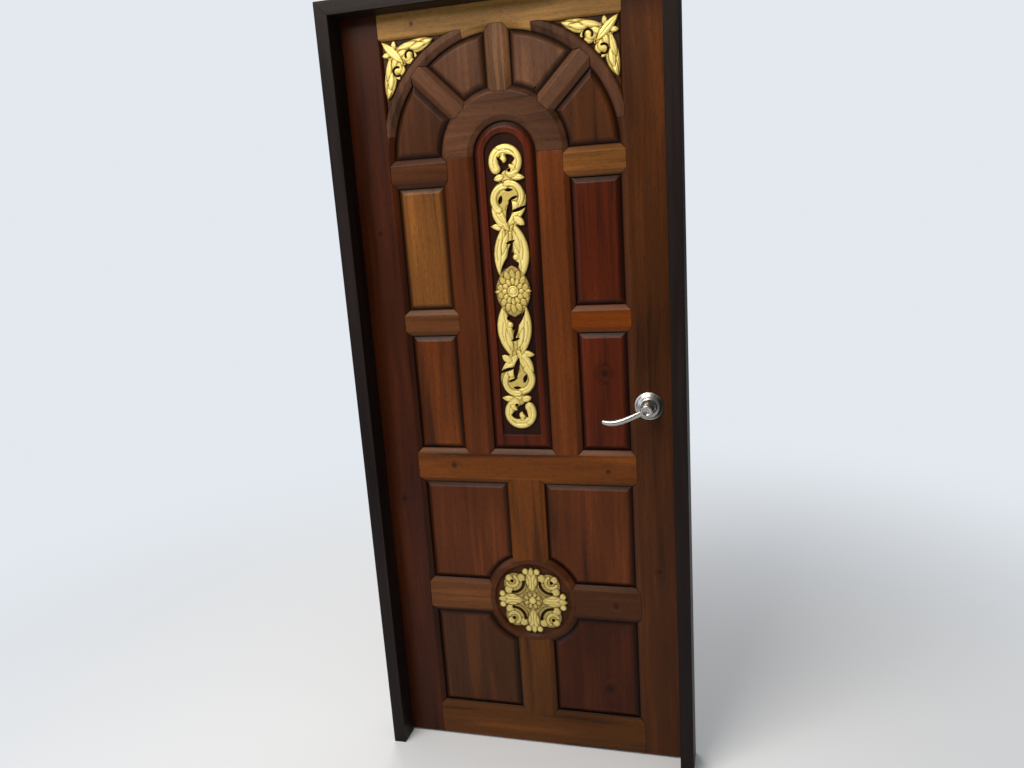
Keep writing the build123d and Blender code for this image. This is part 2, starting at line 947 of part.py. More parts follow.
plain_jamb = frame_length(
    Plane(origin=(half_opening, 0, 0), x_dir=(1, 0, 0), z_dir=(0, 0, 1)), head_top
)
fixing_heights = [fixing_base + row * fixing_spacing for row in range(fixing_count)]
with BuildPart() as hinge_jamb:
    add(mirror(plain_jamb, about=Plane.YZ))
    add(mitre.part, mode=Mode.SUBTRACT)
    for height in fixing_heights:
        with Locations(Location((-frame_x, 0, height), (0, 90, 0))):
            Cylinder(fixing_radius, 3 * frame_face, mode=Mode.SUBTRACT)
    for height in hinge_heights:
        with Locations((frame_plate_face, plate_front, height)):
            Box(
                hinge_plate_thickness,
                frame_back - plate_front,
                hinge_length,
                align=(Align.MAX, Align.MIN, Align.CENTER),
                mode=Mode.SUBTRACT,
            )
    add(at_places(screw_hole, frame_screw_places[:-2]), mode=Mode.SUBTRACT)
save(hinge_jamb.part, "hinge_jamb")

strike_back = strike_face + strike_thickness
hole_half_y = bolt_flat + strike_hole_gap
hole_half_z = bolt_radius + strike_hole_gap
with BuildPart() as lock_jamb:
    add(plain_jamb)
    add(mitre.part, mode=Mode.SUBTRACT)
    for height in fixing_heights:
        with Locations(Location((frame_x, 0, height), (0, 90, 0))):
            Cylinder(fixing_radius, 3 * frame_face, mode=Mode.SUBTRACT)
    with Locations((strike_face, 0, lever_height)):
        Box(
            strike_thickness,
            strike_width,
            strike_height,
            align=(Align.MIN, Align.CENTER, Align.CENTER),
            mode=Mode.SUBTRACT,
        )
        Box(
            pocket_depth,
            2 * hole_half_y,
            2 * hole_half_z,
            align=(Align.MIN, Align.CENTER, Align.CENTER),
            mode=Mode.SUBTRACT,
        )
    add(at_places(screw_hole, frame_screw_places[-2:]), mode=Mode.SUBTRACT)
save(lock_jamb.part, "lock_jamb")

with BuildPart() as strike_plate:
    with BuildSketch(Plane.YZ.offset(strike_face)):
        with Locations((0, lever_height)):
            Rectangle(strike_width, strike_height)
            Rectangle(2 * hole_half_y, 2 * hole_half_z, mode=Mode.SUBTRACT)
    extrude(amount=strike_thickness)
    add(at_places(screw_hole, frame_screw_places[-2:]), mode=Mode.SUBTRACT)
save(strike_plate.part, "strike_plate")

# Latch, lying in the lock stile
case_mouth = leaf_edge - latch_plate_thickness
with BuildPart() as latch_bolt:
    with BuildSketch(Plane.YZ.offset(leaf_edge + bolt_throw - bolt_length)):
        with Locations((0, lever_height)):
            Circle(bolt_radius)
            Rectangle(2 * bolt_flat, 2 * bolt_radius, mode=Mode.INTERSECT)
    extrude(amount=bolt_length)
    with BuildSketch(Plane.XY.offset(lever_height)):
        with BuildLine():
            Polyline(
                (leaf_edge + bolt_throw, bolt_flat - 1),
                (leaf_edge + bolt_throw, -bolt_flat),
                (leaf_edge + bolt_throw - bolt_bevel, -bolt_flat),
                close=True,
            )
        make_face()
    extrude(amount=bolt_radius, both=True, mode=Mode.SUBTRACT)
save(latch_bolt.part, "latch_bolt")

with BuildPart() as latch_case:
    with BuildSketch(Plane.YZ.offset(leaf_edge - latch_length)):
        with Locations((0, lever_height)):
            Circle(latch_radius)
    extrude(amount=latch_length)
    with BuildSketch(Plane.YZ.offset(case_mouth)):
        with Locations((0, lever_height)):
            Rectangle(latch_plate_width, latch_plate_height)
    extrude(amount=latch_plate_thickness)
    with BuildSketch(Plane.YZ.offset(leaf_edge - bolt_length - 1)):
        with Locations((0, lever_height)):
            Circle(bolt_radius + bolt_gap)
            Rectangle(
                2 * (bolt_flat + bolt_gap), 2 * (bolt_radius + bolt_gap), mode=Mode.INTERSECT
            )
    extrude(amount=bolt_length + 2, mode=Mode.SUBTRACT)
    with BuildSketch(front(-latch_radius)):
        with Locations((lever_x, lever_height)):
            Circle(spindle_size / sqrt(2) + latch_eye_gap)
    extrude(amount=2 * latch_radius, mode=Mode.SUBTRACT)
    add(at_places(screw_hole, leaf_screw_places[-2:]), mode=Mode.SUBTRACT)
save(latch_case.part, "latch_case")

# Lever set
with BuildPart() as lever_spindle:
    with BuildSketch(front(-leaf_half - spindle_seat)):
        with Locations((lever_x, lever_height)):
            Rectangle(spindle_size, spindle_size)
    extrude(amount=leaf_thickness + 2 * spindle_seat)
save(lever_spindle.part, "lever_spindle")


def rose():
    """The domed rose of the front lever."""
    with BuildPart() as domed:
        with BuildSketch(Plane.XY):
            with BuildLine():
                Polyline(
                    (rose_neck_radius, -rose_depth),
                    (neck_radius + neck_gap, -rose_depth),
                    (neck_radius + neck_gap, 0),
                    (rose_radius, 0),
                    (rose_radius, -rose_rim),
                )
                Spline(
                    (rose_radius, -rose_rim),
                    (rose_shoulder_radius, -(rose_rim + rose_depth) / 2),
                    (rose_neck_radius, -rose_depth),
                    tangents=((-1, -0.35), (-0.35, -1)),
                )
            make_face()
        revolve(axis=Axis.Y)
    return Pos(lever_x, -leaf_half, lever_height) * domed.part


def lever():
    """The front lever, with its neck, hub and bent grip, and a seat for the spindle."""
    with BuildPart() as turned:
        with Locations((0, 0, neck_start)):
            Cylinder(neck_radius, hub_start - neck_start, align=base_align)
        with Locations((0, 0, hub_start)):
            Cylinder(hub_radius, hub_end - hub_start, align=base_align)
        fillet(turned.edges().sort_by(Axis.Z)[-1], hub_edge)
        with BuildLine() as path:
            Spline(
                (0, 0, grip_level),
                (*grip_run, grip_level),
                (*grip_bend, grip_level),
                (*grip_tip, grip_level),
            )
        sections = []
        for share, width, depth in (
            (0.05, grip_neck_width, grip_depth),
            (0.45, (grip_neck_width + grip_tip_width) / 2, grip_depth),
            (0.92, grip_tip_width, grip_depth),
            (1, grip_end_width, grip_end_depth),
        ):
            with BuildSketch(
                Plane(origin=path.line @ share, x_dir=(0, 0, 1), z_dir=path.line % share)
            ) as section:
                Ellipse(depth / 2, width / 2)
            sections.append(section.sketch)
        with BuildPart(mode=Mode.PRIVATE) as grip:
            loft(sections)
        add(grip.part)
        with Locations((0, 0, neck_start)):
            Box(
                spindle_size + 2 * spindle_gap,
                spindle_size + 2 * spindle_gap,
                spindle_seat - neck_start + 1,
                align=base_align,
                mode=Mode.SUBTRACT,
            )
        with Locations((0, 0, hub_end - plug_depth)):
            Cylinder(
                plug_radius + plug_clearance, plug_depth, align=base_align, mode=Mode.SUBTRACT
            )
    return Pos(lever_x, -leaf_half, lever_height) * Plane.XZ.location * turned.part


front_rose = rose()
save(front_rose, "front_rose")
save(mirror(front_rose, about=Plane.XZ), "back_rose")
front_lever = lever()
save(front_lever, "front_lever")
save(mirror(front_lever, about=Plane.XZ), "back_lever")

with BuildPart() as key_plug:
    with BuildSketch(front(leaf_half + hub_end - plug_depth)):
        with Locations((lever_x, lever_height)):
            Circle(plug_radius)
    extrude(amount=plug_depth)
    with BuildSketch(front(leaf_half + hub_end - keyway_depth)):
        with Locations((lever_x, lever_height)):
            Rectangle(keyway_width, keyway_height)
    extrude(amount=keyway_depth, mode=Mode.SUBTRACT)
save(key_plug.part, "key_plug")

with BuildPart() as turn_button:
    with BuildSketch(front(-leaf_half - hub_end)):
        with Locations((lever_x, lever_height)):
            Circle(plug_radius)
    extrude(amount=plug_depth)
    with BuildSketch(front(-leaf_half - hub_end - button_proud)):
        with Locations((lever_x, lever_height)):
            SlotOverall(button_height, button_width, rotation=90)
    extrude(amount=button_proud)
save(turn_button.part, "turn_button")

# Stiles, let in for the hinges and the latch
with BuildPart() as hinge_stile:
    add(stile("left", -1))
    for height in hinge_heights:
        with Locations((leaf_plate_face, plate_front, height)):
            Box(
                hinge_plate_thickness,
                leaf_half - plate_front,
                hinge_length,
                align=(Align.MIN, Align.MIN, Align.CENTER),
                mode=Mode.SUBTRACT,
            )
    add(at_places(screw_hole, leaf_screw_places[:-2]), mode=Mode.SUBTRACT)
save(hinge_stile.part, "hinge_stile")

with BuildPart() as lock_stile:
    add(stile("right", 1))
    with BuildSketch(Plane.YZ.offset(leaf_edge - latch_length)):
        with Locations((0, lever_height)):
            Circle(latch_radius + latch_bore_gap)
    extrude(amount=latch_length, mode=Mode.SUBTRACT)
    with BuildSketch(Plane.YZ.offset(case_mouth)):
        with Locations((0, lever_height)):
            Rectangle(latch_plate_width, latch_plate_height)
    extrude(amount=latch_plate_thickness, mode=Mode.SUBTRACT)
    with BuildSketch(front(-leaf_half)):
        with Locations((lever_x, lever_height)):
            Circle(cross_bore_radius)
    extrude(amount=leaf_thickness, mode=Mode.SUBTRACT)
    add(at_places(screw_hole, leaf_screw_places[-2:]), mode=Mode.SUBTRACT)
save(lock_stile.part, "lock_stile")


# Carved motifs, each drawn in by trim for the raised crown of a carving
def petal(start, tip, left, right, trim=0.0):
    """A leaf shape between two points, bulging to its left and right."""
    first = Vector(*start)
    last = Vector(*tip)
    along = (last - first).normalized()
    across = Vector(-along.Y, along.X)
    first = first + along * trim
    last = last - along * 2 * trim
    middle = (first + last) / 2
    with BuildSketch() as drawn:
        with BuildLine():
            ThreePointArc(first, middle + across * (left - trim), last)
            ThreePointArc(last, middle - across * (right - trim), first)
        make_face()
    return drawn.sketch


def ball(x, z, radius, trim=0.0):
    """A round knob."""
    return disc_outline(x, z, radius - trim)


def scroll(x, z, radius, width, start, sweep, trim=0.0):
    """A band that follows a circle, with a round end."""
    half = width / 2 - trim
    with BuildSketch() as drawn:
        with BuildLine():
            outer = CenterArc((x, z), radius + half, start, sweep)
            inner = CenterArc((x, z), radius - half, start, sweep)
            Line(outer @ 0, inner @ 0)
            Line(outer @ 1, inner @ 1)
        make_face()
        with Locations((outer @ 0 + inner @ 0) / 2, (outer @ 1 + inner @ 1) / 2):
            Circle(half)
    return drawn.sketch


def joined(solid_shapes, slots):
    """Shapes in one outline, with slots cut out of it."""
    with BuildSketch() as drawn:
        for shape in solid_shapes:
            add(shape)
        for slot in slots:
            add(slot, mode=Mode.SUBTRACT)
    return drawn.sketch


def tall_half(trim):
    """The upper half of the tall carving, about its own middle."""
    top_curl = [
        scroll(1, 320, 30, 26, 212, -278, trim),
        petal((28, 298), (8, 314), 6, 6, trim),
        petal((-3, 342), (-5, 320), 8, 8, trim),
        ball(-4, 326, 9.5, trim),
    ]
    collar = [
        petal((5, 286), (49, 279), 9, 9, trim),
        petal((-3, 286), (-31, 278), 9, 9, trim),
        ball(4, 281, 19, trim),
    ]
    middle_curl = [
        ball(2, 228, 47, trim),
        petal((-38, 225), (2, 150), 10, 20, trim),
        petal((-4, 162), (46, 208), 14, 9, trim),
        petal((14, 186), (41, 165), 10, 10, trim),
        petal((2, 160), (-47, 165), 10, 10, trim),
        ball(14, 170, 9, trim),
    ]
    stem = [
        petal((0, 176), (0, 96), 24, 22, trim),
        petal((-14, 166), (-31, 37), 16, 20, trim),
        petal((14, 170), (30, 36), 26, 15, trim),
        ball(13, 86, 8, trim),
    ]
    slots = [
        petal((-19, 333), (-1, 306), 4, 5, -trim),
        petal((0, 312), (25, 325), 5, 4, -trim),
        petal((7, 337), (26, 324), 4, 5.5, -trim),
        ball(9.5, 299, 4, -trim),
        petal((-5, 252), (16, 252), 4, 3.5, -trim),
        petal((-21, 217), (-14, 239), 5, 5, -trim),
        petal((2, 224), (30, 236), 5, 1.5, -trim),
        petal((9, 231), (-5, 172), 9, 5, -trim),
        petal((4, 198), (54, 214), 2, 6, -trim),
        petal((-10, 121), (13, 128), 3, 4, -trim),
        petal((7, 128), (-8, 82), 5, 4, -trim),
        petal((-4, 92), (-29, 47), 3, 4, -trim),
        ball(13, 68, 7, -trim),
    ]
    return joined(top_curl + collar + middle_curl + stem, slots)


def tall_outline(trim):
    """The tall carving: two halves turned about its middle, and the lotus between them."""
    half = tall_half(trim)
    lotus = joined(
        [
            petal((0, 66), (0, -66), 45, 45, trim),
            petal((-49.5, 0), (49.5, 0), 16, 16, trim),
        ],
        [],
    )
    return joined([half, half.rotate(Axis.Z, 180), lotus], [])


def corner_outline(trim):
    """A corner carving, from the corner of its panel along +X and -Y."""
    arm = [
        petal((44, -22), (140, -7), 10.4, 22, trim),
        petal((78, -30), (95, -47), 6, 6, trim),
        petal((37, -45), (78, -52), 10, 9, trim),
        petal((34, -28), (37, -3), 7, 7, trim),
        ball(73, -49, 12.5, trim),
        ball(67, -39, 15, trim),
        ball(45, -45, 24, trim),
    ]
    slots = [scroll(75.5, -40, 10.5, 4.5, -35, 240, -trim / 2)]
    half = joined(arm, slots)
    turned = mirror(half, about=Plane(origin=(0, 0, 0), z_dir=(1, 1, 0)))
    corner_leaf = petal((37, -37), (3.5, -3.5), 10, 10, trim)
    body = ball(41, -41, 24, trim)
    arch = disc_outline(
        stile_edge - corner_margin,
        arch_centre - top_rail_edge + corner_margin,
        spandrel_radius + small_bevel_width + carving_gap + trim,
    )
    return joined([half, turned, body, corner_leaf], [arch])


def rosette_outline(trim):
    """The round carving, about its own middle."""
    shapes = [ball(0, 0, 68, trim)]
    slots = []
    for quarter in range(4):
        turn = 90 * quarter
        arm = joined(
            [
                petal((0, 30), (0, 99), 18, 18, trim),
                ball(16, 86, 9.5, trim),
                ball(-16, 86, 9.5, trim),
                ball(47, 47, 33, trim),
                ball(64, 64, 11, trim),
                ball(66, 29, 13, trim),
                ball(29, 66, 13, trim),
            ],
            [],
        )
        shapes.append(arm.rotate(Axis.Z, turn))
        slots.append(scroll(54, 54, 31, 8, 178, 94, -trim / 2).rotate(Axis.Z, turn))
        slots.append(ball(56, 56, 4.5, -trim / 2).rotate(Axis.Z, turn))
    return joined(shapes, slots)


def carving(outline, level, place):
    """A carving of two layers, seated on a level, with its middle at a place."""
    base = outline(0)
    crown = outline(crown_inset)
    with BuildPart() as carved:
        with BuildSketch(front(level)):
            with Locations(place):
                add(base)
        extrude(amount=carving_base)
        with BuildSketch(front(level + carving_base)):
            with Locations(place):
                add(crown)
        extrude(amount=carving_crown)
    return carved


arched_level = field_half - arched_sinking
spandrel_level = leaf_half - spandrel_recess
tall_carving = carving(tall_outline, arched_level, (tall_carving_shift, tall_carving_height))
save(tall_carving.part, "tall_carving")
corner_carving = carving(
    corner_outline,
    spandrel_level,
    (corner_margin - stile_edge, top_rail_edge - corner_margin),
)
save(corner_carving.part, "corner_carving_left")
save(mirror(corner_carving.part, about=Plane.YZ), "corner_carving_right")
round_carving = carving(rosette_outline, leaf_half - boss_sinking, (0, boss_height))
save(round_carving.part, "round_carving")
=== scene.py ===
"""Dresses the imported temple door: its varnished hardwood, its stained frame, its gilded carvings and its
satin hardware, on a plain pale floor.

Sizes inside the classes are in millimetres, as on a joiner's rod, and become metres where a mesh is made.
Only the studio's are metres.
X runs to the lock side, Z up, and the carved face looks along -Y.
"""

import json
import logging
import math
from dataclasses import dataclass, replace
from enum import Enum
from typing import Mapping, Sequence

import bmesh
import bpy
import numpy as np
from mathutils import Matrix, Vector

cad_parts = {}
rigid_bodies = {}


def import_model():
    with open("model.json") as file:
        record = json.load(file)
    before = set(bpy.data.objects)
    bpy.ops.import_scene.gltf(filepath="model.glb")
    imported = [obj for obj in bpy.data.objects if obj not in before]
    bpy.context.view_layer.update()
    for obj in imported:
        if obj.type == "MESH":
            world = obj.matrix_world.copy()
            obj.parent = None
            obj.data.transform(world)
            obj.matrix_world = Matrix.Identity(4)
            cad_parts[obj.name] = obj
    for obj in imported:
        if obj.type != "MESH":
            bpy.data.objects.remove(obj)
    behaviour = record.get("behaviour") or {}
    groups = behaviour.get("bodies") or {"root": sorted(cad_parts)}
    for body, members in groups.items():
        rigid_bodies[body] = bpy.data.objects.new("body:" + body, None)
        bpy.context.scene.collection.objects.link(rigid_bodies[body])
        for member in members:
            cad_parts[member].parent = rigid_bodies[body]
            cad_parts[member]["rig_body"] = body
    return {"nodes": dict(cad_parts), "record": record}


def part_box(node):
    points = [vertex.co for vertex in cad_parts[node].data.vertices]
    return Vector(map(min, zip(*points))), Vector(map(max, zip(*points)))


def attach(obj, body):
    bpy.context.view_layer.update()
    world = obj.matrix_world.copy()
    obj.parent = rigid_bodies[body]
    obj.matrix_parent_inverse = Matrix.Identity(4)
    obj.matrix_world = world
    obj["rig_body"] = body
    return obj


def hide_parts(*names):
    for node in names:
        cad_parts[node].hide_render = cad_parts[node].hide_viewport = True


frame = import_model()

MM = 0.001
NOISE_ENDS = (0.3, 0.7)
GOUGE_WIDTH = 1.3
LOG = logging.getLogger("temple_door")

Field = np.ndarray
Point = tuple[float, float]
Colour = tuple[float, float, float, float]
Tree = bpy.types.NodeTree
Socket = bpy.types.NodeSocket


# Helpers shared by every piece


def linear(hex_colour: str) -> Colour:
    """Turns an sRGB hex colour into Blender's linear colour.

    Args:
        hex_colour: Six hex digits, with or without a leading #.

    Returns:
        Red, green, blue and an alpha of 1.
    """
    digits = hex_colour.lstrip("#")
    channels = [int(digits[i : i + 2], 16) / 255 for i in (0, 2, 4)]
    red, green, blue = [c / 12.92 if c <= 0.04045 else ((c + 0.055) / 1.055) ** 2.4 for c in channels]
    return red, green, blue, 1.0


def dimmed(colour: Colour, share: float) -> Colour:
    """A linear colour at a share of its brightness."""
    return colour[0] * share, colour[1] * share, colour[2] * share, 1.0


def add_node(
    tree: Tree,
    kind: str,
    inputs: Mapping[object, object] | None = None,
    settings: Mapping[str, object] | None = None,
) -> bpy.types.Node:
    """Adds one node with its settings and links.

    Args:
        tree: The node tree that gets the node.
        kind: Blender's name for the type of node.
        inputs: By socket name or number, a plain value, the socket that feeds it or a list of sockets.
        settings: Values of the node's own properties.

    Returns:
        The new node.
    """
    node = tree.nodes.new(kind)
    for name, value in (settings or {}).items():
        setattr(node, name, value)
    for name, value in (inputs or {}).items():
        for one in value if isinstance(value, list) else [value]:
            if isinstance(one, Socket):
                tree.links.new(one, node.inputs[name])
            else:
                node.inputs[name].default_value = one
    return node


def node_output(
    tree: Tree,
    kind: str,
    inputs: Mapping[object, object] | None = None,
    settings: Mapping[str, object] | None = None,
    out: object = 0,
) -> Socket:
    """Adds one node, as add_node does, and gives the output with a name or number."""
    return add_node(tree, kind, inputs, settings).outputs[out]


def maths(tree: Tree, operation: str, *terms: Socket | float) -> Socket:
    """The result of a math node on its terms, in order."""
    return node_output(tree, "ShaderNodeMath", dict(enumerate(terms)), {"operation": operation})


def vectors(tree: Tree, operation: str, *terms: Socket | Sequence[float], out: str = "Vector") -> Socket:
    """The result of a vector math node on its terms, in order."""
    return node_output(
        tree, "ShaderNodeVectorMath", dict(enumerate(terms)), {"operation": operation}, out
    )


def remapped(
    tree: Tree,
    value: Socket,
    ends: tuple[float, float],
    results: tuple[float, float] = (0.0, 1.0),
    curve: str = "LINEAR",
) -> Socket:
    """Turns a value between two ends into one between two results, and holds it there past them.

    Args:
        tree: The node tree.
        value: The value.
        ends: The two values that give the results.
        results: What they give.
        curve: Blender's name for the way between them.

    Returns:
        The new value.
    """
    inputs = {"Value": value, "From Min": ends[0], "From Max": ends[1]}
    inputs |= {"To Min": results[0], "To Max": results[1]}
    return node_output(tree, "ShaderNodeMapRange", inputs, {"interpolation_type": curve})


def noise(tree: Tree, place: Socket, size: float, detail: float, out: str = "Fac") -> Socket:
    """Noise with patches of a size in millimetres, and finer layers in it."""
    inputs = {"Vector": place, "Scale": 1 / (size * MM), "Detail": detail}
    return node_output(tree, "ShaderNodeTexNoise", inputs, out=out)


def stretched_noise(
    tree: Tree, place: Socket, width: float, length: float, detail: float, axis: int = 2
) -> Socket:
    """Noise that is stretched along one axis.

    Args:
        tree: The material's node tree.
        place: Its coordinates.
        width: The pattern's width across the axis, in millimetres.
        length: Its length along the axis.
        detail: How many finer layers it has.
        axis: The number of the axis.

    Returns:
        A value from 0 to 1.
    """
    scale = tuple(1 / ((length if number == axis else width) * MM) for number in range(3))
    stretched = node_output(tree, "ShaderNodeMapping", {"Vector": place, "Scale": scale})
    inputs = {"Vector": stretched, "Scale": 1.0, "Detail": detail}
    return node_output(tree, "ShaderNodeTexNoise", inputs, out="Fac")


def ramp(tree: Tree, value: Socket, stops: Sequence[tuple[float, Colour]]) -> Socket:
    """The colour that a ramp has at a value.

    Args:
        tree: The material's node tree.
        value: Where on the ramp.
        stops: Each stop's place and linear colour.

    Returns:
        The colour.
    """
    node = add_node(tree, "ShaderNodeValToRGB", {"Fac": value})
    elements = node.color_ramp.elements
    while len(elements) < len(stops):
        elements.new(0.5)
    for element, (place, colour) in zip(elements, stops):
        element.position = place
        element.color = colour
    return node.outputs["Color"]


def bump(
    tree: Tree, height: Socket, depth: float, strength: float, under: Socket | None = None
) -> Socket:
    """The normal that a height gives.

    Args:
        tree: The material's node tree.
        height: The height, from 0 to 1.
        depth: What 1 stands for, in millimetres.
        strength: How strongly it shows.
        under: The normal that lies below it.

    Returns:
        The normal.
    """
    inputs = {"Height": height, "Distance": depth * MM, "Strength": strength}
    if under is not None:
        inputs["Normal"] = under
    return node_output(tree, "ShaderNodeBump", inputs)


def mixed_shader(
    tree: Tree, share: Socket, first: bpy.types.Node, second: bpy.types.Node
) -> bpy.types.Node:
    """Mixes a share of the second shader into the first."""
    inputs = {0: share, 1: first.outputs[0], 2: second.outputs[0]}
    return add_node(tree, "ShaderNodeMixShader", inputs)


def new_material(name: str) -> tuple[bpy.types.Material, Tree, Socket]:
    """Makes a material with nothing in it but the door's coordinates.

    Args:
        name: The finish's name.

    Returns:
        The material, its node tree and the coordinates.
    """
    material = bpy.data.materials.new(name)
    material.use_nodes = True
    tree = material.node_tree
    tree.nodes.clear()
    return material, tree, node_output(tree, "ShaderNodeTexCoord", out="Object")


def close_material(tree: Tree, shader: bpy.types.Node) -> None:
    """Links a shader's first output to a material's output."""
    add_node(tree, "ShaderNodeOutputMaterial", {"Surface": shader.outputs[0]})


def write_smooth(work: bmesh.types.BMesh, mesh: bpy.types.Mesh) -> None:
    """Shades the faces smooth, writes them to a mesh and frees the editable one.

    Args:
        work: The editable mesh.
        mesh: The mesh that gets it.
    """
    for face in work.faces:
        face.smooth = True
    work.to_mesh(mesh)
    work.free()


def settle(
    piece: bpy.types.Object,
    body: str,
    material: bpy.types.Material,
    nodes: Sequence[str] = (),
) -> bpy.types.Object:
    """Gives a finished piece its material, its body and the nodes that it stands for.

    Args:
        piece: The finished object, at the origin.
        body: The CAD body that it rides on.
        material: Its finish.
        nodes: The CAD nodes that it replaces.

    Returns:
        The same piece.
    """
    piece.data.materials.clear()
    piece.data.materials.append(material)
    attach(piece, body)
    if nodes:
        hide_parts(*nodes)
    return piece


def new_piece(name: str, mesh: bpy.types.Mesh) -> bpy.types.Object:
    """Links a new object at the origin.

    Args:
        name: The object's name.
        mesh: Its mesh.

    Returns:
        The object.
    """
    piece = bpy.data.objects.new(name, mesh)
    bpy.context.scene.collection.objects.link(piece)
    return piece


def applied(piece: bpy.types.Object) -> bpy.types.Object:
    """Bakes an object's modifiers into its mesh.

    Args:
        piece: An object with live modifiers.

    Returns:
        The same object with a plain mesh and no modifiers.
    """
    graph = bpy.context.evaluated_depsgraph_get()
    mesh = bpy.data.meshes.new_from_object(piece.evaluated_get(graph))
    piece.modifiers.clear()
    piece.data = mesh
    return piece


def keep_in_box(mesh: bpy.types.Mesh, node: str) -> None:
    """Draws back each vertex that stands past a CAD node's box.

    Args:
        mesh: The mesh that stands for the node.
        node: The CAD node's name.
    """
    lowest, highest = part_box(node)
    for vertex in mesh.vertices:
        for axis in range(3):
            vertex.co[axis] = min(max(vertex.co[axis], lowest[axis]), highest[axis])


def body_of(node: str) -> str:
    """Names the CAD body that a node belongs to."""
    return frame["nodes"][node]["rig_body"]


def merged(node: str, flat_angle: float) -> bmesh.types.BMesh:
    """Copies a CAD node's loose triangles and merges them into flat faces.

    Args:
        node: The CAD node's name.
        flat_angle: Faces that meet below this angle, in degrees, become one.

    Returns:
        A new editable mesh. The CAD node stays as it is.
    """
    mesh = bmesh.new()
    mesh.from_mesh(frame["nodes"][node].data)
    bmesh.ops.remove_doubles(mesh, verts=mesh.verts[:], dist=0.01 * MM)
    if flat_angle > 0:
        bmesh.ops.dissolve_limit(
            mesh, angle_limit=math.radians(flat_angle), verts=mesh.verts[:], edges=mesh.edges[:]
        )
    return mesh


# Finishes


class Grain(Enum):
    """Which way a board's grain runs on the door: degrees from upright, turned in the door's plane."""

    UPRIGHT = 0.0
    LEVEL = 90.0
    RISING = 45.0
    FALLING = -45.0


class Stock(Enum):
    """The colours that the planks have under their varnish, from stained black to pale sapwood."""

    STAINED_BLACK = "1a1210"
    BLACK_HEART = "371503"
    UMBER = "3e200a"
    DARK_BROWN = "442208"
    MAROON = "4b1a04"
    RUSSET = "4e2409"
    WALNUT_BROWN = "502c0a"
    ASH_BROWN = "4d2f1c"
    GREY_BROWN = "543623"
    CHESTNUT = "582a0a"
    TOBACCO = "5b3416"
    AMBER = "62330a"
    ORANGE_BROWN = "6a3103"
    HONEY = "6b4118"
    PALE_BROWN = "724e32"
    SAPWOOD = "8a6432"


@dataclass(frozen=True)
class Knot:
    """A sound knot: its middle on the door, its radius and, as shares of that, what lies round it."""

    x: float
    z: float
    radius: float
    bend_reach: float = 3.2
    bend_push: float = 2.6
    stain_reach: float = 1.5
    stain_shade: float = 0.8


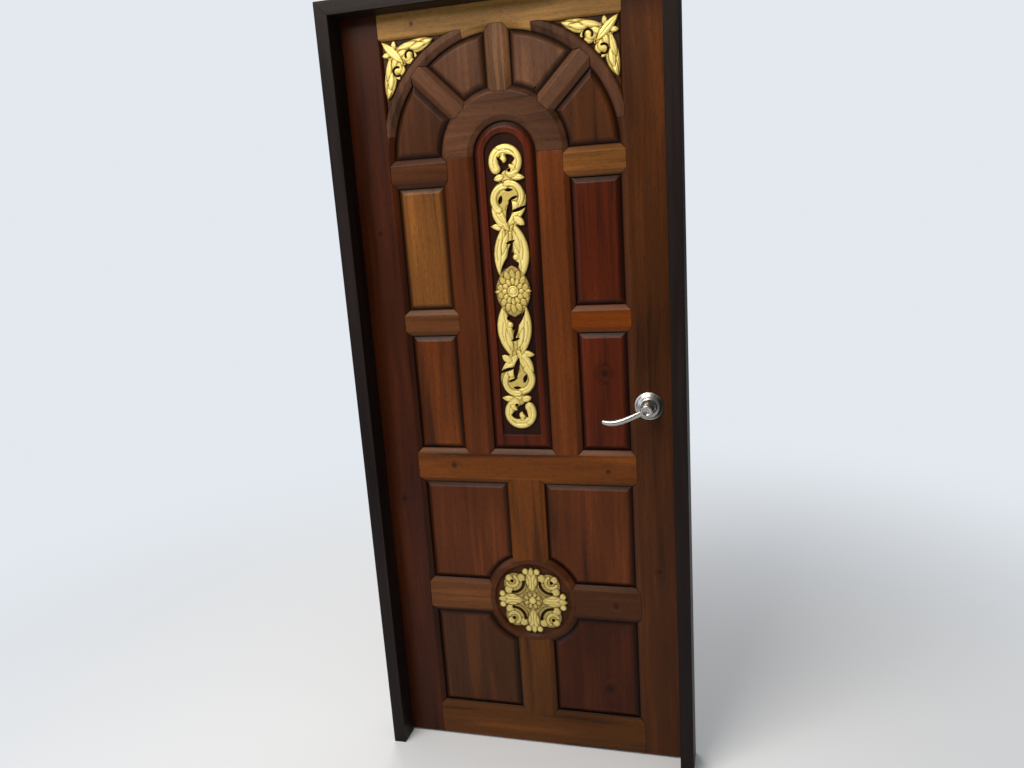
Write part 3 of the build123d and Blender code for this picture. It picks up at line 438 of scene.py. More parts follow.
@dataclass(frozen=True)
class VarnishedHardwood:
    """Rosewood-like hardwood, planed, stained and brushed with satin varnish.

    The eye gets long streaks of dark heartwood along the grain, short open pores, painted shade with
    pooled varnish in the grooves, darker the deeper they lie, and a soft gloss that wavers with the brush.
    Real pores are a quarter as wide. They are drawn coarse enough to show.
    """

    name: str
    stock: Stock
    grain: Grain
    light_share: float = 1.65
    dark_share: float = 0.43
    dark_end: float = 0.26
    plain_start: float = 0.46
    plain_end: float = 0.54
    light_end: float = 0.76
    # The grooves' colour: painted shade, with the dark varnish that pools there.
    groove: str = "140804"
    roughness: float = 0.36
    groove_floor: float = 7.0
    groove_top: float = 12.8
    groove_shade: float = 0.85
    drift_width: float = 64.0
    drift_length: float = 420.0
    drift_share: float = 0.8
    streak_width: float = 15.0
    streak_length: float = 460.0
    streak_share: float = 0.7
    fibre_width: float = 3.2
    fibre_length: float = 150.0
    fibre_share: float = 0.2
    pore_width: float = 1.1
    pore_length: float = 16.0
    pore_depth: float = 0.16
    pore_strength: float = 0.5
    pore_heart: float = 0.36
    pore_edge: float = 0.44
    pore_shade: float = 0.34
    wander: float = 26.0
    wander_length: float = 384.6
    brush_width: float = 34.0
    brush_length: float = 160.0
    brush_depth: float = 0.9
    brush_strength: float = 0.55
    gloss_loss: float = 0.07
    gloss_gain: float = 0.05
    sheen: float = 0.12
    top_coat: float = 0.03
    top_coat_roughness: float = 0.15
    knots: tuple[Knot, ...] = ()
    log_place: tuple[float, float, float] = (0.0, 0.0, 0.0)

    def material(self) -> bpy.types.Material:
        """Builds the finish.

        Returns:
            Its material.
        """
        material, tree, place = new_material(self.name)
        turn = (0.0, -math.radians(self.grain.value), 0.0)
        along = node_output(
            tree,
            "ShaderNodeMapping",
            {"Vector": place, "Location": self.log_place, "Rotation": turn},
        )
        along, knot_shade = self._around_knots(tree, place, along)
        bend = noise(tree, along, self.wander_length, 2.0, "Color")
        sway = self.wander * MM
        shift = vectors(tree, "MULTIPLY_ADD", bend, (sway, sway, 0.0), (-sway / 2, -sway / 2, 0.0))
        along = vectors(tree, "ADD", along, shift)
        fibres = stretched_noise(tree, along, self.fibre_width, self.fibre_length, 2.0)
        pores = stretched_noise(tree, along, self.pore_width, self.pore_length, 1.0)
        brush = stretched_noise(tree, along, self.brush_width, self.brush_length, 1.0)
        shade = remapped(tree, pores, (self.pore_heart, self.pore_edge), (self.pore_shade, 0.0))
        # Pores and knots darken the wood itself; the grooves add painted shade and pooled varnish.
        for other in (self._grooves(tree, place), knot_shade):
            shade = maths(tree, "MAXIMUM", shade, other)
        colour = node_output(
            tree,
            "ShaderNodeMix",
            {0: shade, 6: self._plank(tree, along, fibres), 7: linear(self.groove)},
            {"data_type": "RGBA"},
            out=2,
        )
        dullest, shiniest = self.roughness + self.gloss_loss, self.roughness - self.gloss_gain
        ripple = bump(tree, brush, self.brush_depth, self.brush_strength)
        shader = add_node(
            tree,
            "ShaderNodeBsdfPrincipled",
            {
                "Base Color": colour,
                "Roughness": remapped(tree, fibres, NOISE_ENDS, (dullest, shiniest)),
                "Specular IOR Level": self.sheen,
                "Normal": bump(tree, pores, self.pore_depth, self.pore_strength, ripple),
                "Coat Weight": self.top_coat,
                "Coat Roughness": self.top_coat_roughness,
            },
        )
        close_material(tree, shader)
        return material

    def _plank(self, tree: Tree, along: Socket, fibres: Socket) -> Socket:
        """The plank's own colours, from dark heartwood to light streaks.

        Args:
            tree: The material's node tree.
            along: Coordinates whose Z runs with the grain.
            fibres: The pattern of its fibres.

        Returns:
            The colour at each place.
        """
        streaks = stretched_noise(tree, along, self.streak_width, self.streak_length, 3.0)
        drift = stretched_noise(tree, along, self.drift_width, self.drift_length, 1.0)
        layers = ((fibres, self.fibre_share), (drift, self.drift_share), (streaks, self.streak_share))
        mixed = 0.5 - sum(share for _, share in layers) / 2
        for layer, share in layers:
            mixed = maths(tree, "MULTIPLY_ADD", layer, share, mixed)
        tone = linear(self.stock.value)
        dark, light = dimmed(tone, self.dark_share), dimmed(tone, self.light_share)
        places = (self.dark_end, self.plain_start, self.plain_end, self.light_end)
        return ramp(tree, mixed, tuple(zip(places, (dark, tone, tone, light))))

    def _grooves(self, tree: Tree, place: Socket) -> Socket:
        """Painted shade and settled dark varnish in the grooves, from the depth below the leaf's two
        faces.

        Args:
            tree: The material's node tree.
            place: Coordinates of the door.

        Returns:
            The shade at each place.
        """
        across = node_output(tree, "ShaderNodeSeparateXYZ", {"Vector": place}, out="Y")
        ends = (self.groove_floor * MM, self.groove_top * MM)
        across = maths(tree, "ABSOLUTE", across)
        return remapped(tree, across, ends, (self.groove_shade, 0.0), "SMOOTHSTEP")

    def _around_knots(self, tree: Tree, place: Socket, along: Socket) -> tuple[Socket, Socket | float]:
        """Bends the grain round each knot and darkens its heart.

        Args:
            tree: The material's node tree.
            place: Coordinates of the door.
            along: Coordinates whose Z runs with the grain.

        Returns:
            The bent coordinates, and how dark the knots are.
        """
        shade = 0.0
        for knot in self.knots:
            flat = vectors(tree, "MULTIPLY", place, (1.0, 0.0, 1.0))
            middle = (knot.x * MM, 0.0, knot.z * MM)
            reach = vectors(tree, "DISTANCE", flat, middle, out="Value")
            radius = knot.radius * MM
            bent, push = radius * knot.bend_reach, radius * knot.bend_push
            pull = remapped(tree, reach, (0.0, bent), (push, 0.0), "SMOOTHERSTEP")
            pull = node_output(tree, "ShaderNodeCombineXYZ", {"X": pull, "Y": pull})
            along = vectors(tree, "ADD", along, pull)
            stained = (0.0, radius * knot.stain_reach)
            heart = remapped(tree, reach, stained, (knot.stain_shade, 0.0), "SMOOTHSTEP")
            shade = maths(tree, "MAXIMUM", shade, heart)
        return along, shade


@dataclass(frozen=True)
class LeafGold:
    """Pale gold leaf laid over carved wood and rubbed with a brown wash.

    The eye gets a soft, slightly mottled yellow sheen on what stands proud, brighter there with a painted
    highlight, and brown in what lies deep, where the wash is darkened with painted shade.
    """

    name: str = "leaf_gold_over_carved_wood"
    # The crest colour is the gold with a painted highlight; the wash colour is the brown wash with painted
    # shade.
    crest: str = "eedb88"
    gold: str = "cbb35c"
    wash: str = "573c0e"
    gold_depth: float = 0.28
    wash_depth: float = 0.78
    metallic: float = 0.35
    roughness: float = 0.44
    gloss_gain: float = 0.06
    gloss_loss: float = 0.12
    mottle_size: float = 9.0
    mottle_share: float = 0.3
    grit_size: float = 1.4
    grit_depth: float = 0.35
    grit_strength: float = 0.4

    def material(self) -> bpy.types.Material:
        """Builds the finish. It reads the carving's own attribute of how deep a point lies, and from it
        paints a highlight on the crests and shade, with the brown wash, in the hollows.

        Returns:
            Its material.
        """
        material, tree, place = new_material(self.name)
        hollow = node_output(
            tree, "ShaderNodeAttribute", settings={"attribute_name": Relief.HOLLOW}, out="Fac"
        )
        mottle = noise(tree, place, self.mottle_size, 3.0)
        grit = noise(tree, place, self.grit_size, 2.0)
        depth = maths(tree, "MULTIPLY_ADD", mottle, self.mottle_share, -self.mottle_share / 2)
        # From the crests down: gold brightened with a painted highlight, the gold, then the wash darkened
        # with painted shade.
        stops = (
            (0.0, linear(self.crest)),
            (self.gold_depth, linear(self.gold)),
            (self.wash_depth, linear(self.wash)),
        )
        shiniest, dullest = self.roughness - self.gloss_gain, self.roughness + self.gloss_loss
        shader = add_node(
            tree,
            "ShaderNodeBsdfPrincipled",
            {
                "Base Color": ramp(tree, maths(tree, "ADD", hollow, depth), stops),
                "Metallic": self.metallic,
                "Roughness": remapped(tree, mottle, NOISE_ENDS, (shiniest, dullest)),
                "Normal": bump(tree, grit, self.grit_depth, self.grit_strength),
            },
        )
        close_material(tree, shader)
        return material


@dataclass(frozen=True)
class FinishedMetal:
    """Metal hardware with a finish of fine lines or a dull plating.

    The eye gets a clear grey with a soft streak of light, and slight smears from hands.
    """

    name: str
    colour: str
    roughness: float
    line_width: float = 0.5
    line_length: float = 24.0
    smear_size: float = 14.0
    gloss_gain: float = 0.04
    gloss_loss: float = 0.08
    line_depth: float = 0.02
    line_strength: float = 0.5

    def material(self) -> bpy.types.Material:
        """Builds the finish.

        Returns:
            Its material.
        """
        material, tree, place = new_material(self.name)
        lines = stretched_noise(tree, place, self.line_width, self.line_length, 2.0, axis=0)
        smears = noise(tree, place, self.smear_size, 2.0)
        shiniest, dullest = self.roughness - self.gloss_gain, self.roughness + self.gloss_loss
        shader = add_node(
            tree,
            "ShaderNodeBsdfPrincipled",
            {
                "Base Color": linear(self.colour),
                "Metallic": 1.0,
                "Roughness": remapped(tree, smears, NOISE_ENDS, (shiniest, dullest)),
                "Normal": bump(tree, lines, self.line_depth, self.line_strength),
            },
        )
        close_material(tree, shader)
        return material


# Joinery


@dataclass(frozen=True)
class Board:
    """One wooden piece of the door: its CAD node and what the log gave it."""

    node: str
    stock: Stock
    grain: Grain
    knots: tuple[Knot, ...] = ()
    roughness: float = 0.36


@dataclass
class Joinery:
    """Wooden pieces with rounded arrises and their own grain."""

    boards: Sequence[Board]
    slots: Mapping[str, str]
    arris: float = 1.5
    arris_steps: int = 2
    arris_angle: float = 25.0
    flat_angle: float = 0.6
    shortest_edge: float = 0.5
    shortest_arris: float = 2.5
    groove_shade: float = 0.85
    log_step: tuple[float, float, float] = (0.37, 0.61, 0.29)

    def build(self) -> None:
        """Makes and dresses every board."""
        for number, board in enumerate(self.boards):
            piece = self.rounded(board.node)
            finish = VarnishedHardwood(
                name=f"varnished_hardwood_{board.node}",
                stock=board.stock,
                grain=board.grain,
                knots=board.knots,
                roughness=board.roughness,
                groove_shade=self.groove_shade,
                log_place=tuple(number * step for step in self.log_step),
            )
            settle(
                piece, body_of(board.node), finish.material(), [board.node]
            )
            LOG.info("%s: %s", board.node, board.stock.name.lower())

    def rounded(self, node: str) -> bpy.types.Object:
        """A copy of a board with the sharpness taken off its long edges.

        Args:
            node: The CAD node's name.

        Returns:
            The new piece.
        """
        mesh = merged(node, self.flat_angle)
        tiny = [e for e in mesh.edges if e.calc_length() < self.shortest_edge * MM]
        bmesh.ops.collapse(mesh, edges=tiny)
        weight = mesh.edges.layers.float.new("bevel_weight_edge")
        for edge in mesh.edges:
            long = edge.calc_length() > self.shortest_arris * MM
            if long and len(edge.link_faces) == 2:
                if edge.calc_face_angle(0.0) > math.radians(self.arris_angle):
                    edge[weight] = 1.0
        data = bpy.data.meshes.new(f"{node}_board")
        write_smooth(mesh, data)
        piece = new_piece(f"{node}_board", data)
        bevel = piece.modifiers.new("arris", "BEVEL")
        bevel.width = self.arris * MM
        bevel.segments = self.arris_steps
        bevel.limit_method = "WEIGHT"
        bevel.use_clamp_overlap = False
        piece.modifiers.new("flats", "WEIGHTED_NORMAL")
        applied(piece)
        keep_in_box(piece.data, node)
        return piece


# Carvings


@dataclass(frozen=True)
class Petal:
    """A leaf between two points, bulging to its left and right, with a gouged vein."""

    start: Point
    tip: Point
    left: float
    right: float
    vein: float = 1.0
    shoulder: float = 8.0
    lift: float = 1.0
    hole: bool = False

    VEIN_START, VEIN_END = 0.12, 0.86

    def distance(self, x: Field, z: Field) -> Field:
        """Distance from the outline.

        Args:
            x: Places across the carving.
            z: Places up it.

        Returns:
            The distance at each place, below nothing inside.
        """
        ax, az = self.start
        bx, bz = self.tip
        half = math.hypot(bx - ax, bz - az) / 2
        ux, uz = (bx - ax) / (2 * half), (bz - az) / (2 * half)
        mx, mz = (ax + bx) / 2, (az + bz) / 2
        sides = []
        for bulge, turn in ((self.left, 1.0), (self.right, -1.0)):
            radius = (half * half + bulge * bulge) / (2 * bulge)
            cx = mx - turn * (radius - bulge) * -uz
            cz = mz - turn * (radius - bulge) * ux
            sides.append(np.hypot(x - cx, z - cz) - radius)
        return np.maximum(*sides)

    def gouge(self, x: Field, z: Field) -> Field:
        """Depth of the vein, which runs out before both ends."""
        reach = off_line(x, z, self.start, self.tip, self.VEIN_START, self.VEIN_END)
        return furrow(reach, GOUGE_WIDTH, self.vein)

    def turned(self, degrees: float) -> "Petal":
        """The same leaf, turned about the carving's middle."""
        return replace(self, start=spun(self.start, degrees), tip=spun(self.tip, degrees))

    def mirrored(self) -> "Petal":
        """The same leaf on the other side of the corner's diagonal."""
        return replace(
            self, start=flipped(self.start), tip=flipped(self.tip), left=self.right, right=self.left
        )


@dataclass(frozen=True)
class Knob:
    """A round bead."""

    x: float
    z: float
    radius: float
    shoulder: float = 9.0
    lift: float = 1.0
    hole: bool = False

    def distance(self, x: Field, z: Field) -> Field:
        """Distance from the outline, below nothing inside."""
        return np.hypot(x - self.x, z - self.z) - self.radius

    def gouge(self, x: Field, z: Field) -> Field:
        """A bead has no gouge."""
        return np.zeros_like(x)

    def turned(self, degrees: float) -> "Knob":
        """The same bead, turned about the carving's middle."""
        x, z = spun((self.x, self.z), degrees)
        return replace(self, x=x, z=z)

    def mirrored(self) -> "Knob":
        """The same bead on the other side of the corner's diagonal."""
        return replace(self, x=-self.z, z=-self.x)


@dataclass(frozen=True)
class Scroll:
    """A band along a circle with round ends, and a gouged line along it."""

    x: float
    z: float
    radius: float
    width: float
    start: float
    sweep: float
    vein: float = 0.9
    shoulder: float = 8.0
    lift: float = 1.0
    hole: bool = False

    def _spine(self, x: Field, z: Field) -> Field:
        """Distance from the band's middle line.

        Args:
            x: Places across the carving.
            z: Places up it.

        Returns:
            The distance at each place.
        """
        angle = np.degrees(np.arctan2(z - self.z, x - self.x))
        turn = math.copysign(1.0, self.sweep)
        ahead = np.mod((angle - self.start) * turn, 360.0)
        ring = np.abs(np.hypot(x - self.x, z - self.z) - self.radius)
        ends = []
        for degrees in (self.start, self.start + self.sweep):
            ex = self.x + self.radius * math.cos(math.radians(degrees))
            ez = self.z + self.radius * math.sin(math.radians(degrees))
            ends.append(np.hypot(x - ex, z - ez))
        return np.where(ahead <= abs(self.sweep), ring, np.minimum(*ends))

    def distance(self, x: Field, z: Field) -> Field:
        """Distance from the outline, below nothing inside."""
        return self._spine(x, z) - self.width / 2

    def gouge(self, x: Field, z: Field) -> Field:
        """Depth of the line."""
        return furrow(self._spine(x, z), GOUGE_WIDTH, self.vein)

    def turned(self, degrees: float) -> "Scroll":
        """The same band, turned about the carving's middle."""
        x, z = spun((self.x, self.z), degrees)
        return replace(self, x=x, z=z, start=self.start + degrees)

    def mirrored(self) -> "Scroll":
        """The same band on the other side of the corner's diagonal."""
        return replace(self, x=-self.z, z=-self.x, start=-90.0 - self.start, sweep=-self.sweep)


Motif = Petal | Knob | Scroll


@dataclass(frozen=True)
class Cut:
    """A line cut with a gouge through some points."""

    points: tuple[Point, ...]
    width: float = 1.4
    depth: float = 1.6

    STEPS = (0.0, 0.25, 0.5, 0.75)

    def gouge(self, x: Field, z: Field) -> Field:
        """Depth of the cut, on a smooth line through its points.

        Args:
            x: Places across the carving.
            z: Places up it.

        Returns:
            The depth at each place.
        """
        line = self._smooth()
        nearest = np.full(x.shape, np.inf)
        for start, tip in zip(line[:-1], line[1:]):
            nearest = np.minimum(nearest, off_line(x, z, start, tip))
        return furrow(nearest, self.width, self.depth)

    def turned(self, degrees: float) -> "Cut":
        """The same cut, turned about the carving's middle."""
        return replace(self, points=tuple(spun(point, degrees) for point in self.points))

    def mirrored(self) -> "Cut":
        """The same cut on the other side of the corner's diagonal."""
        return replace(self, points=tuple(flipped(point) for point in self.points))

    def _smooth(self) -> list[Point]:
        """Puts three more points between each two, on a curve through them all.

        Returns:
            All points in order.
        """
        ends = [self.points[0], *self.points, self.points[-1]]
        line: list[Point] = []
        for p0, p1, p2, p3 in zip(ends, ends[1:], ends[2:], ends[3:]):
            for t in self.STEPS:
                line.append(
                    tuple(
                        0.5
                        * (
                            2 * b
                            + (c - a) * t
                            + (2 * a - 5 * b + 4 * c - d) * t * t
                            + (3 * b - a - 3 * c + d) * t**3
                        )
                        for a, b, c, d in zip(p0, p1, p2, p3)
                    )
                )
        return [*line, self.points[-1]]


def spun(point: Point, degrees: float) -> Point:
    """Turns a point about the origin."""
    c, s = math.cos(math.radians(degrees)), math.sin(math.radians(degrees))
    return point[0] * c - point[1] * s, point[0] * s + point[1] * c


def off_line(
    x: Field, z: Field, start: Point, tip: Point, first: float = 0.0, last: float = 1.0
) -> Field:
    """Distance from a part of a straight line.

    Args:
        x: Places across the carving.
        z: Places up it.
        start: The line's start.
        tip: Its end.
        first: Where the part starts, as a share of the line.
        last: Where it ends.

    Returns:
        The distance at each place.
    """
    (ax, az), (bx, bz) = start, tip
    dx, dz = bx - ax, bz - az
    share = np.clip(((x - ax) * dx + (z - az) * dz) / (dx**2 + dz**2), first, last)
    return np.hypot(x - ax - share * dx, z - az - share * dz)


def furrow(reach: Field, width: float, depth: float) -> Field:
    """Depth of a soft-sided furrow at a distance from its middle line."""
    return depth * np.exp(-((reach / width) ** 2))


def flipped(point: Point) -> Point:
    """Mirrors a point about the diagonal that runs down from the corner."""
    return -point[1], -point[0]


def petal_ring(
    count: int,
    inner: float,
    outer: float,
    width: float,
    stretch: float,
    lift: float,
    first: float = 0.0,
    vein: float = 0.5,
) -> tuple[Petal, ...]:
    """A ring of petals round the origin.

    Args:
        count: How many.
        inner: The radius at which they start.
        outer: The radius that they reach.
        width: Half the width of each.
        stretch: How much taller than wide the ring is.
        lift: Their height, as a share of the crown.
        first: The angle of the first one, in degrees.
        vein: The depth of each vein.

    Returns:
        The petals.
    """
    ring = []
    for number in range(count):
        angle = math.radians(first + 360.0 * number / count)
        c, s = math.cos(angle), math.sin(angle) * stretch
        ring.append(
            Petal((inner * c, inner * s), (outer * c, outer * s), width, width, vein, width, lift)
        )
    return tuple(ring)


@dataclass(frozen=True)
class Ornament:
    """Motifs laid one over the other, holes through those before them, and lines cut into them all."""

    motifs: tuple[Motif, ...]
    cuts: tuple[Cut, ...] = ()
    base: float = 5.0
    crown: float = 4.0
    seam_depth: float = 1.5
    seam_width: float = 1.15
    overlap: float = 0.35
    deepest: float = 1.5
    rim: float = 2.6

    def outline(self, x: Field, z: Field) -> Field:
        """Distance from the outline.

        Args:
            x: Places across the carving.
            z: Places up it.

        Returns:
            The distance at each place, below nothing inside.
        """
        solid = np.full(x.shape, np.inf)
        for motif in self.motifs:
            gap = motif.distance(x, z)
            solid = np.maximum(solid, -gap) if motif.hole else np.minimum(solid, gap)
        return solid

    def height(self, x: Field, z: Field) -> Field:
        """Height of the carved face above its seat, with a seam where one motif lies over another.

        Args:
            x: Places across the carving.
            z: Places up it.

        Returns:
            The height at each place, in millimetres.
        """
        best = np.zeros_like(x)
        for motif in self.motifs:
            if motif.hole:
                continue
            gap = motif.distance(x, z)
            dome = self.crown * motif.lift * self._dome(-gap / motif.shoulder)
            dome = dome - np.where(gap < 0, motif.gouge(x, z), 0)
            under = best - furrow(gap, self.seam_width, self.seam_depth)
            best = np.where(gap < 0, np.maximum(under - self.overlap, dome), under)
        for cut in self.cuts:
            best = best - cut.gouge(x, z)
        top = self.crown * self._dome(-self.outline(x, z) / self.rim)
        return self.base + np.clip(np.minimum(best, top), -self.deepest, self.crown)

    @staticmethod
    def _dome(share: Field) -> Field:
        """A quarter circle's rise, from 0 at its edge to 1 at its crest."""
        share = np.clip(share, 0, 1)
        return np.sqrt(np.clip(1 - (1 - share) ** 2, 0, 1))


@dataclass
class Relief:
    """A carving made from an ornament, at its place on the door."""

    node: str
    ornament: Ornament
    middle: Point
    seat: float
    side: float = 1.0
    step: float = 1.1
    crest: float = 9.0
    thinnest: float = 0.5
    wash_top: float = 4.0
    merge_reach: float = 0.02
    wall_angle: float = 50.0
    margin: float = 2.0
    inset_share: float = 0.2
    pulls: int = 6
    probe: float = 0.05
    flattest_slope: float = 0.25

    HOLLOW = "hollow"

    def build(self, finish: bpy.types.Material) -> bpy.types.Object:
        """Makes the carving and puts it in place of its CAD node.

        Args:
            finish: The gilding.

        Returns:
            The finished piece.
        """
        points, faces = self._grid()
        carved = self.ornament.height(*self._own(points[:, 0], points[:, 1]))
        depth = np.clip(carved, self.thinnest, self.crest)
        count = len(points)
        front = np.column_stack([points[:, 0], self.seat - depth, points[:, 1]])
        back = np.column_stack([points[:, 0], np.full(count, self.seat), points[:, 1]])
        rim = self._rim(faces)
        walls = np.column_stack([rim[:, 0], rim[:, 0] + count, rim[:, 1] + count, rim[:, 1]])
        quads = np.concatenate([faces, faces[:, ::-1] + count, walls])
        mesh = bpy.data.meshes.new(f"{self.node}_relief")
        mesh.from_pydata((np.concatenate([front, back]) * MM).tolist(), [], quads.tolist())
        # How deep each point lies, from which the gold paints its highlight, its wash and its painted
        # shade.
        hollow = mesh.attributes.new(self.HOLLOW, "FLOAT", "POINT")
        low = 1 - np.clip((depth - self.wash_top) / (self.crest - self.wash_top), 0, 1)
        hollow.data.foreach_set("value", np.concatenate([low, np.ones(count)]).astype(np.float32))
        work = bmesh.new()
        work.from_mesh(mesh)
        bmesh.ops.remove_doubles(work, verts=work.verts[:], dist=self.merge_reach * MM)
        bmesh.ops.dissolve_degenerate(work, edges=work.edges[:], dist=self.merge_reach * MM)
        bmesh.ops.recalc_face_normals(work, faces=work.faces[:])
        write_smooth(work, mesh)
        mesh.set_sharp_from_angle(angle=math.radians(self.wall_angle))
        piece = new_piece(f"{self.node}_relief", mesh)
        keep_in_box(mesh, self.node)
        settle(piece, body_of(self.node), finish, [self.node])
        LOG.info("%s: %d faces", self.node, len(mesh.polygons))
        return piece

    def _own(self, x: Field, z: Field) -> tuple[Field, Field]:
        """A place on the door, measured from the carving's own origin."""
        return (x - self.middle[0]) * self.side, z - self.middle[1]

    def _outline(self, x: Field, z: Field) -> Field:
        """Distance from the outline at a place on the door, below nothing inside."""
        return self.ornament.outline(*self._own(x, z))

    def _grid(self) -> tuple[Field, Field]:
        """Squares that cover the outline, with the outer corners pulled onto it.

        Returns:
            The corners in millimetres, and the four corner numbers of each square.
        """
        lowest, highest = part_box(self.node)
        before, after = -self.margin, self.margin + self.step
        xs = np.arange(lowest.x / MM + before, highest.x / MM + after, self.step)
        zs = np.arange(lowest.z / MM + before, highest.z / MM + after, self.step)
        x, z = np.meshgrid(xs, zs)
        inside = self._outline(x, z) < -self.inset_share * self.step
        cells = inside[:-1, :-1] | inside[1:, :-1] | inside[:-1, 1:] | inside[1:, 1:]
        numbers = np.arange(x.size).reshape(x.shape)
        row, column = np.nonzero(cells)
        faces = np.column_stack(
            [
                numbers[row, column],
                numbers[row, column + 1],
                numbers[row + 1, column + 1],
                numbers[row + 1, column],
            ]
        )
        used, faces = np.unique(faces, return_inverse=True)
        faces = faces.reshape(-1, 4)
        px, pz = x.ravel()[used], z.ravel()[used]
        small = self.probe
        for _ in range(self.pulls):
            out = np.nonzero(self._outline(px, pz) > 0)[0]
            ox, oz = px[out], pz[out]
            slope_x = (self._outline(ox + small, oz) - self._outline(ox - small, oz)) / (2 * small)
            slope_z = (self._outline(ox, oz + small) - self._outline(ox, oz - small)) / (2 * small)
            pull = self._outline(ox, oz) / np.maximum(slope_x**2 + slope_z**2, self.flattest_slope)
            px[out], pz[out] = ox - slope_x * pull, oz - slope_z * pull
        return np.column_stack([px, pz]), faces

    @staticmethod
    def _rim(faces: Field) -> Field:
        """Edges that belong to one square only, in the order in which the square has them.

        Args:
            faces: The four corner numbers of each square.

        Returns:
            The two corner numbers of each such edge.
        """
        edges = np.concatenate([faces[:, [i, (i + 1) % 4]] for i in range(4)])
        keys = np.sort(edges, axis=1)
        _, first, counts = np.unique(keys, axis=0, return_index=True, return_counts=True)
        return edges[first[counts == 1]]


@dataclass
class Carvings:
    """The four gilded carvings of the leaf."""

    tall_middle: Point = (1.5, 1312.0)
    rosette_middle: Point = (0.0, 452.5)
    corner: Point = (-297.0, 1942.0)
    arched_seat: float = -8.0
    spandrel_seat: float = -9.0
    boss_seat: float = -10.5
    finish: LeafGold = LeafGold()
    low_finish: LeafGold = LeafGold("dulled_leaf_gold_over_carved_wood", "dcc87a", "b09a4e", "4a320d")

    TALL_HALF = (
        Knob(14, 170, 9),
        Petal((0, 176), (0, 96), 24, 22, 0.0, 12, 0.7),
        Knob(4, 281, 19, 9, 0.75),
        Knob(2, 228, 47, 12, 0.6),
        Petal((5, 286), (49, 279), 9, 9),
        Petal((-3, 286), (-31, 278), 9, 9),
        Scroll(1, 320, 30, 26, 212, -278, 1.3, 12),
        Petal((28, 298), (8, 314), 6, 6, 0.5, 6),
        Petal((-3, 342), (-5, 320), 8, 8, 0.0, 7),
        Knob(-4, 326, 9.5),
        Petal((-4, 162), (46, 208), 14, 9),
        Petal((14, 186), (41, 165), 10, 10),
        Petal((2, 160), (-47, 165), 10, 10),
        Petal((-38, 225), (2, 150), 10, 20, 1.1, 10),
        Scroll(-2, 229, 33, 18, 92, 140, 1.1, 9),
        Scroll(6, 237, 31, 16, 100, -196, 1.1, 8),
        Knob(18, 214, 11),
        Petal((-14, 166), (-31, 37), 16, 20, 1.4, 11),
        Petal((14, 170), (30, 36), 26, 15, 1.4, 11),
        Petal((-2, 150), (-22, 92), 6, 9, 0.9, 6),
        Petal((8, 156), (24, 96), 9, 6, 0.9, 6),
        Knob(13, 86, 8),
        Petal((-19, 333), (-1, 306), 4, 5, hole=True),
        Petal((0, 312), (25, 325), 5, 4, hole=True),
        Petal((7, 337), (26, 324), 4, 5.5, hole=True),
        Knob(9.5, 299, 4, hole=True),
        Petal((-5, 252), (16, 252), 4, 3.5, hole=True),
        Petal((-21, 217), (-14, 239), 5, 5, hole=True),
        Petal((2, 224), (30, 236), 5, 1.5, hole=True),
        Petal((9, 231), (-5, 172), 9, 5, hole=True),
        Petal((4, 198), (54, 214), 2, 6, hole=True),
        Petal((-10, 121), (13, 128), 3, 4, hole=True),
        Petal((7, 128), (-8, 82), 5, 4, hole=True),
        Petal((-4, 92), (-29, 47), 3, 4, hole=True),
        Knob(13, 68, 7, hole=True),
    )
    TALL_CUTS = (
        Cut(((-22, 352), (-6, 346), (10, 348), (24, 340))),
        Cut(((30, 128), (34, 104), (30, 78))),
        Cut(((-26, 132), (-34, 104), (-33, 78))),
        Cut(((-30, 196), (-22, 182), (-12, 170))),
    )
    LOTUS = (
        Petal((0, 66), (0, -66), 45, 45, 0.0, 9, 0.45),
        Petal((-49.5, 0), (49.5, 0), 16, 16, 0.0, 8, 0.8),
        *petal_ring(14, 18.0, 43.0, 9.0, 1.36, 0.72, 360 / 28),
        *petal_ring(12, 12.0, 30.0, 7.0, 1.22, 0.88),
        Knob(0, 0, 15.5, 5, 0.92),
        Knob(0, 0, 10, 8, 1.0),
    )
    CORNER_HALF = (
        Petal((44, -22), (140, -7), 10.4, 22, 0.0, 10, 0.7),
        Petal((78, -30), (95, -47), 6, 6, 0.5, 5),
        Petal((37, -45), (78, -52), 10, 9, 0.0, 8, 0.8),
        Petal((34, -28), (37, -3), 7, 7, 0.9, 6),
        Knob(73, -49, 12.5, 9, 0.8),
        Knob(67, -39, 15, 9, 0.8),
        Petal((96, -17), (138, -8), 4.5, 9, 0.9, 7),
        Petal((66, -20), (120, -16), 6, 12, 1.0, 8),
        Petal((40, -24), (96, -10), 7, 10, 1.1, 9),
        Petal((36, -42), (70, -28), 8, 8, 1.0, 8),
        Scroll(75.5, -40, 10.5, 4.5, -35, 240, hole=True),
    )
    CORNER_BODY = (
        Knob(45, -45, 24, 10, 0.7),
        Knob(41, -41, 24, 10, 0.7),
    )
    CORNER_FRONT = (
        Petal((58, -58), (3.5, -3.5), 11, 11, 1.3, 9),
        Knob(297, -292, 320, hole=True),
    )
    ROSETTE_QUARTER = (
        Knob(47, 47, 33, 10, 0.62),
        Knob(64, 64, 11, 7, 0.9),
        Knob(66, 29, 13, 7, 0.85),
        Knob(29, 66, 13, 7, 0.85),
        Scroll(56, 56, 16, 10, 120, 210, 0.9, 5),
        Petal((0, 24), (0, 99), 18, 18, 1.4, 11),
        Petal((-10, 40), (-13, 74), 5, 5, 0.7, 5),
        Petal((10, 40), (13, 74), 5, 5, 0.7, 5),
        Knob(16, 86, 9.5, 7),
        Knob(-16, 86, 9.5, 7),
        Petal((0, 72), (0, 99), 8, 8, 0.9, 7),
        Scroll(54, 54, 31, 8, 178, 94, hole=True),
        Knob(56, 56, 4.5, hole=True),
    )
    ROSETTE_MIDDLE = (
        Knob(0, 0, 28, 5, 0.55),
        *petal_ring(8, 9.0, 26.5, 6.5, 1.0, 0.85, 22.5),
        Knob(0, 0, 11.5, 8),
    )

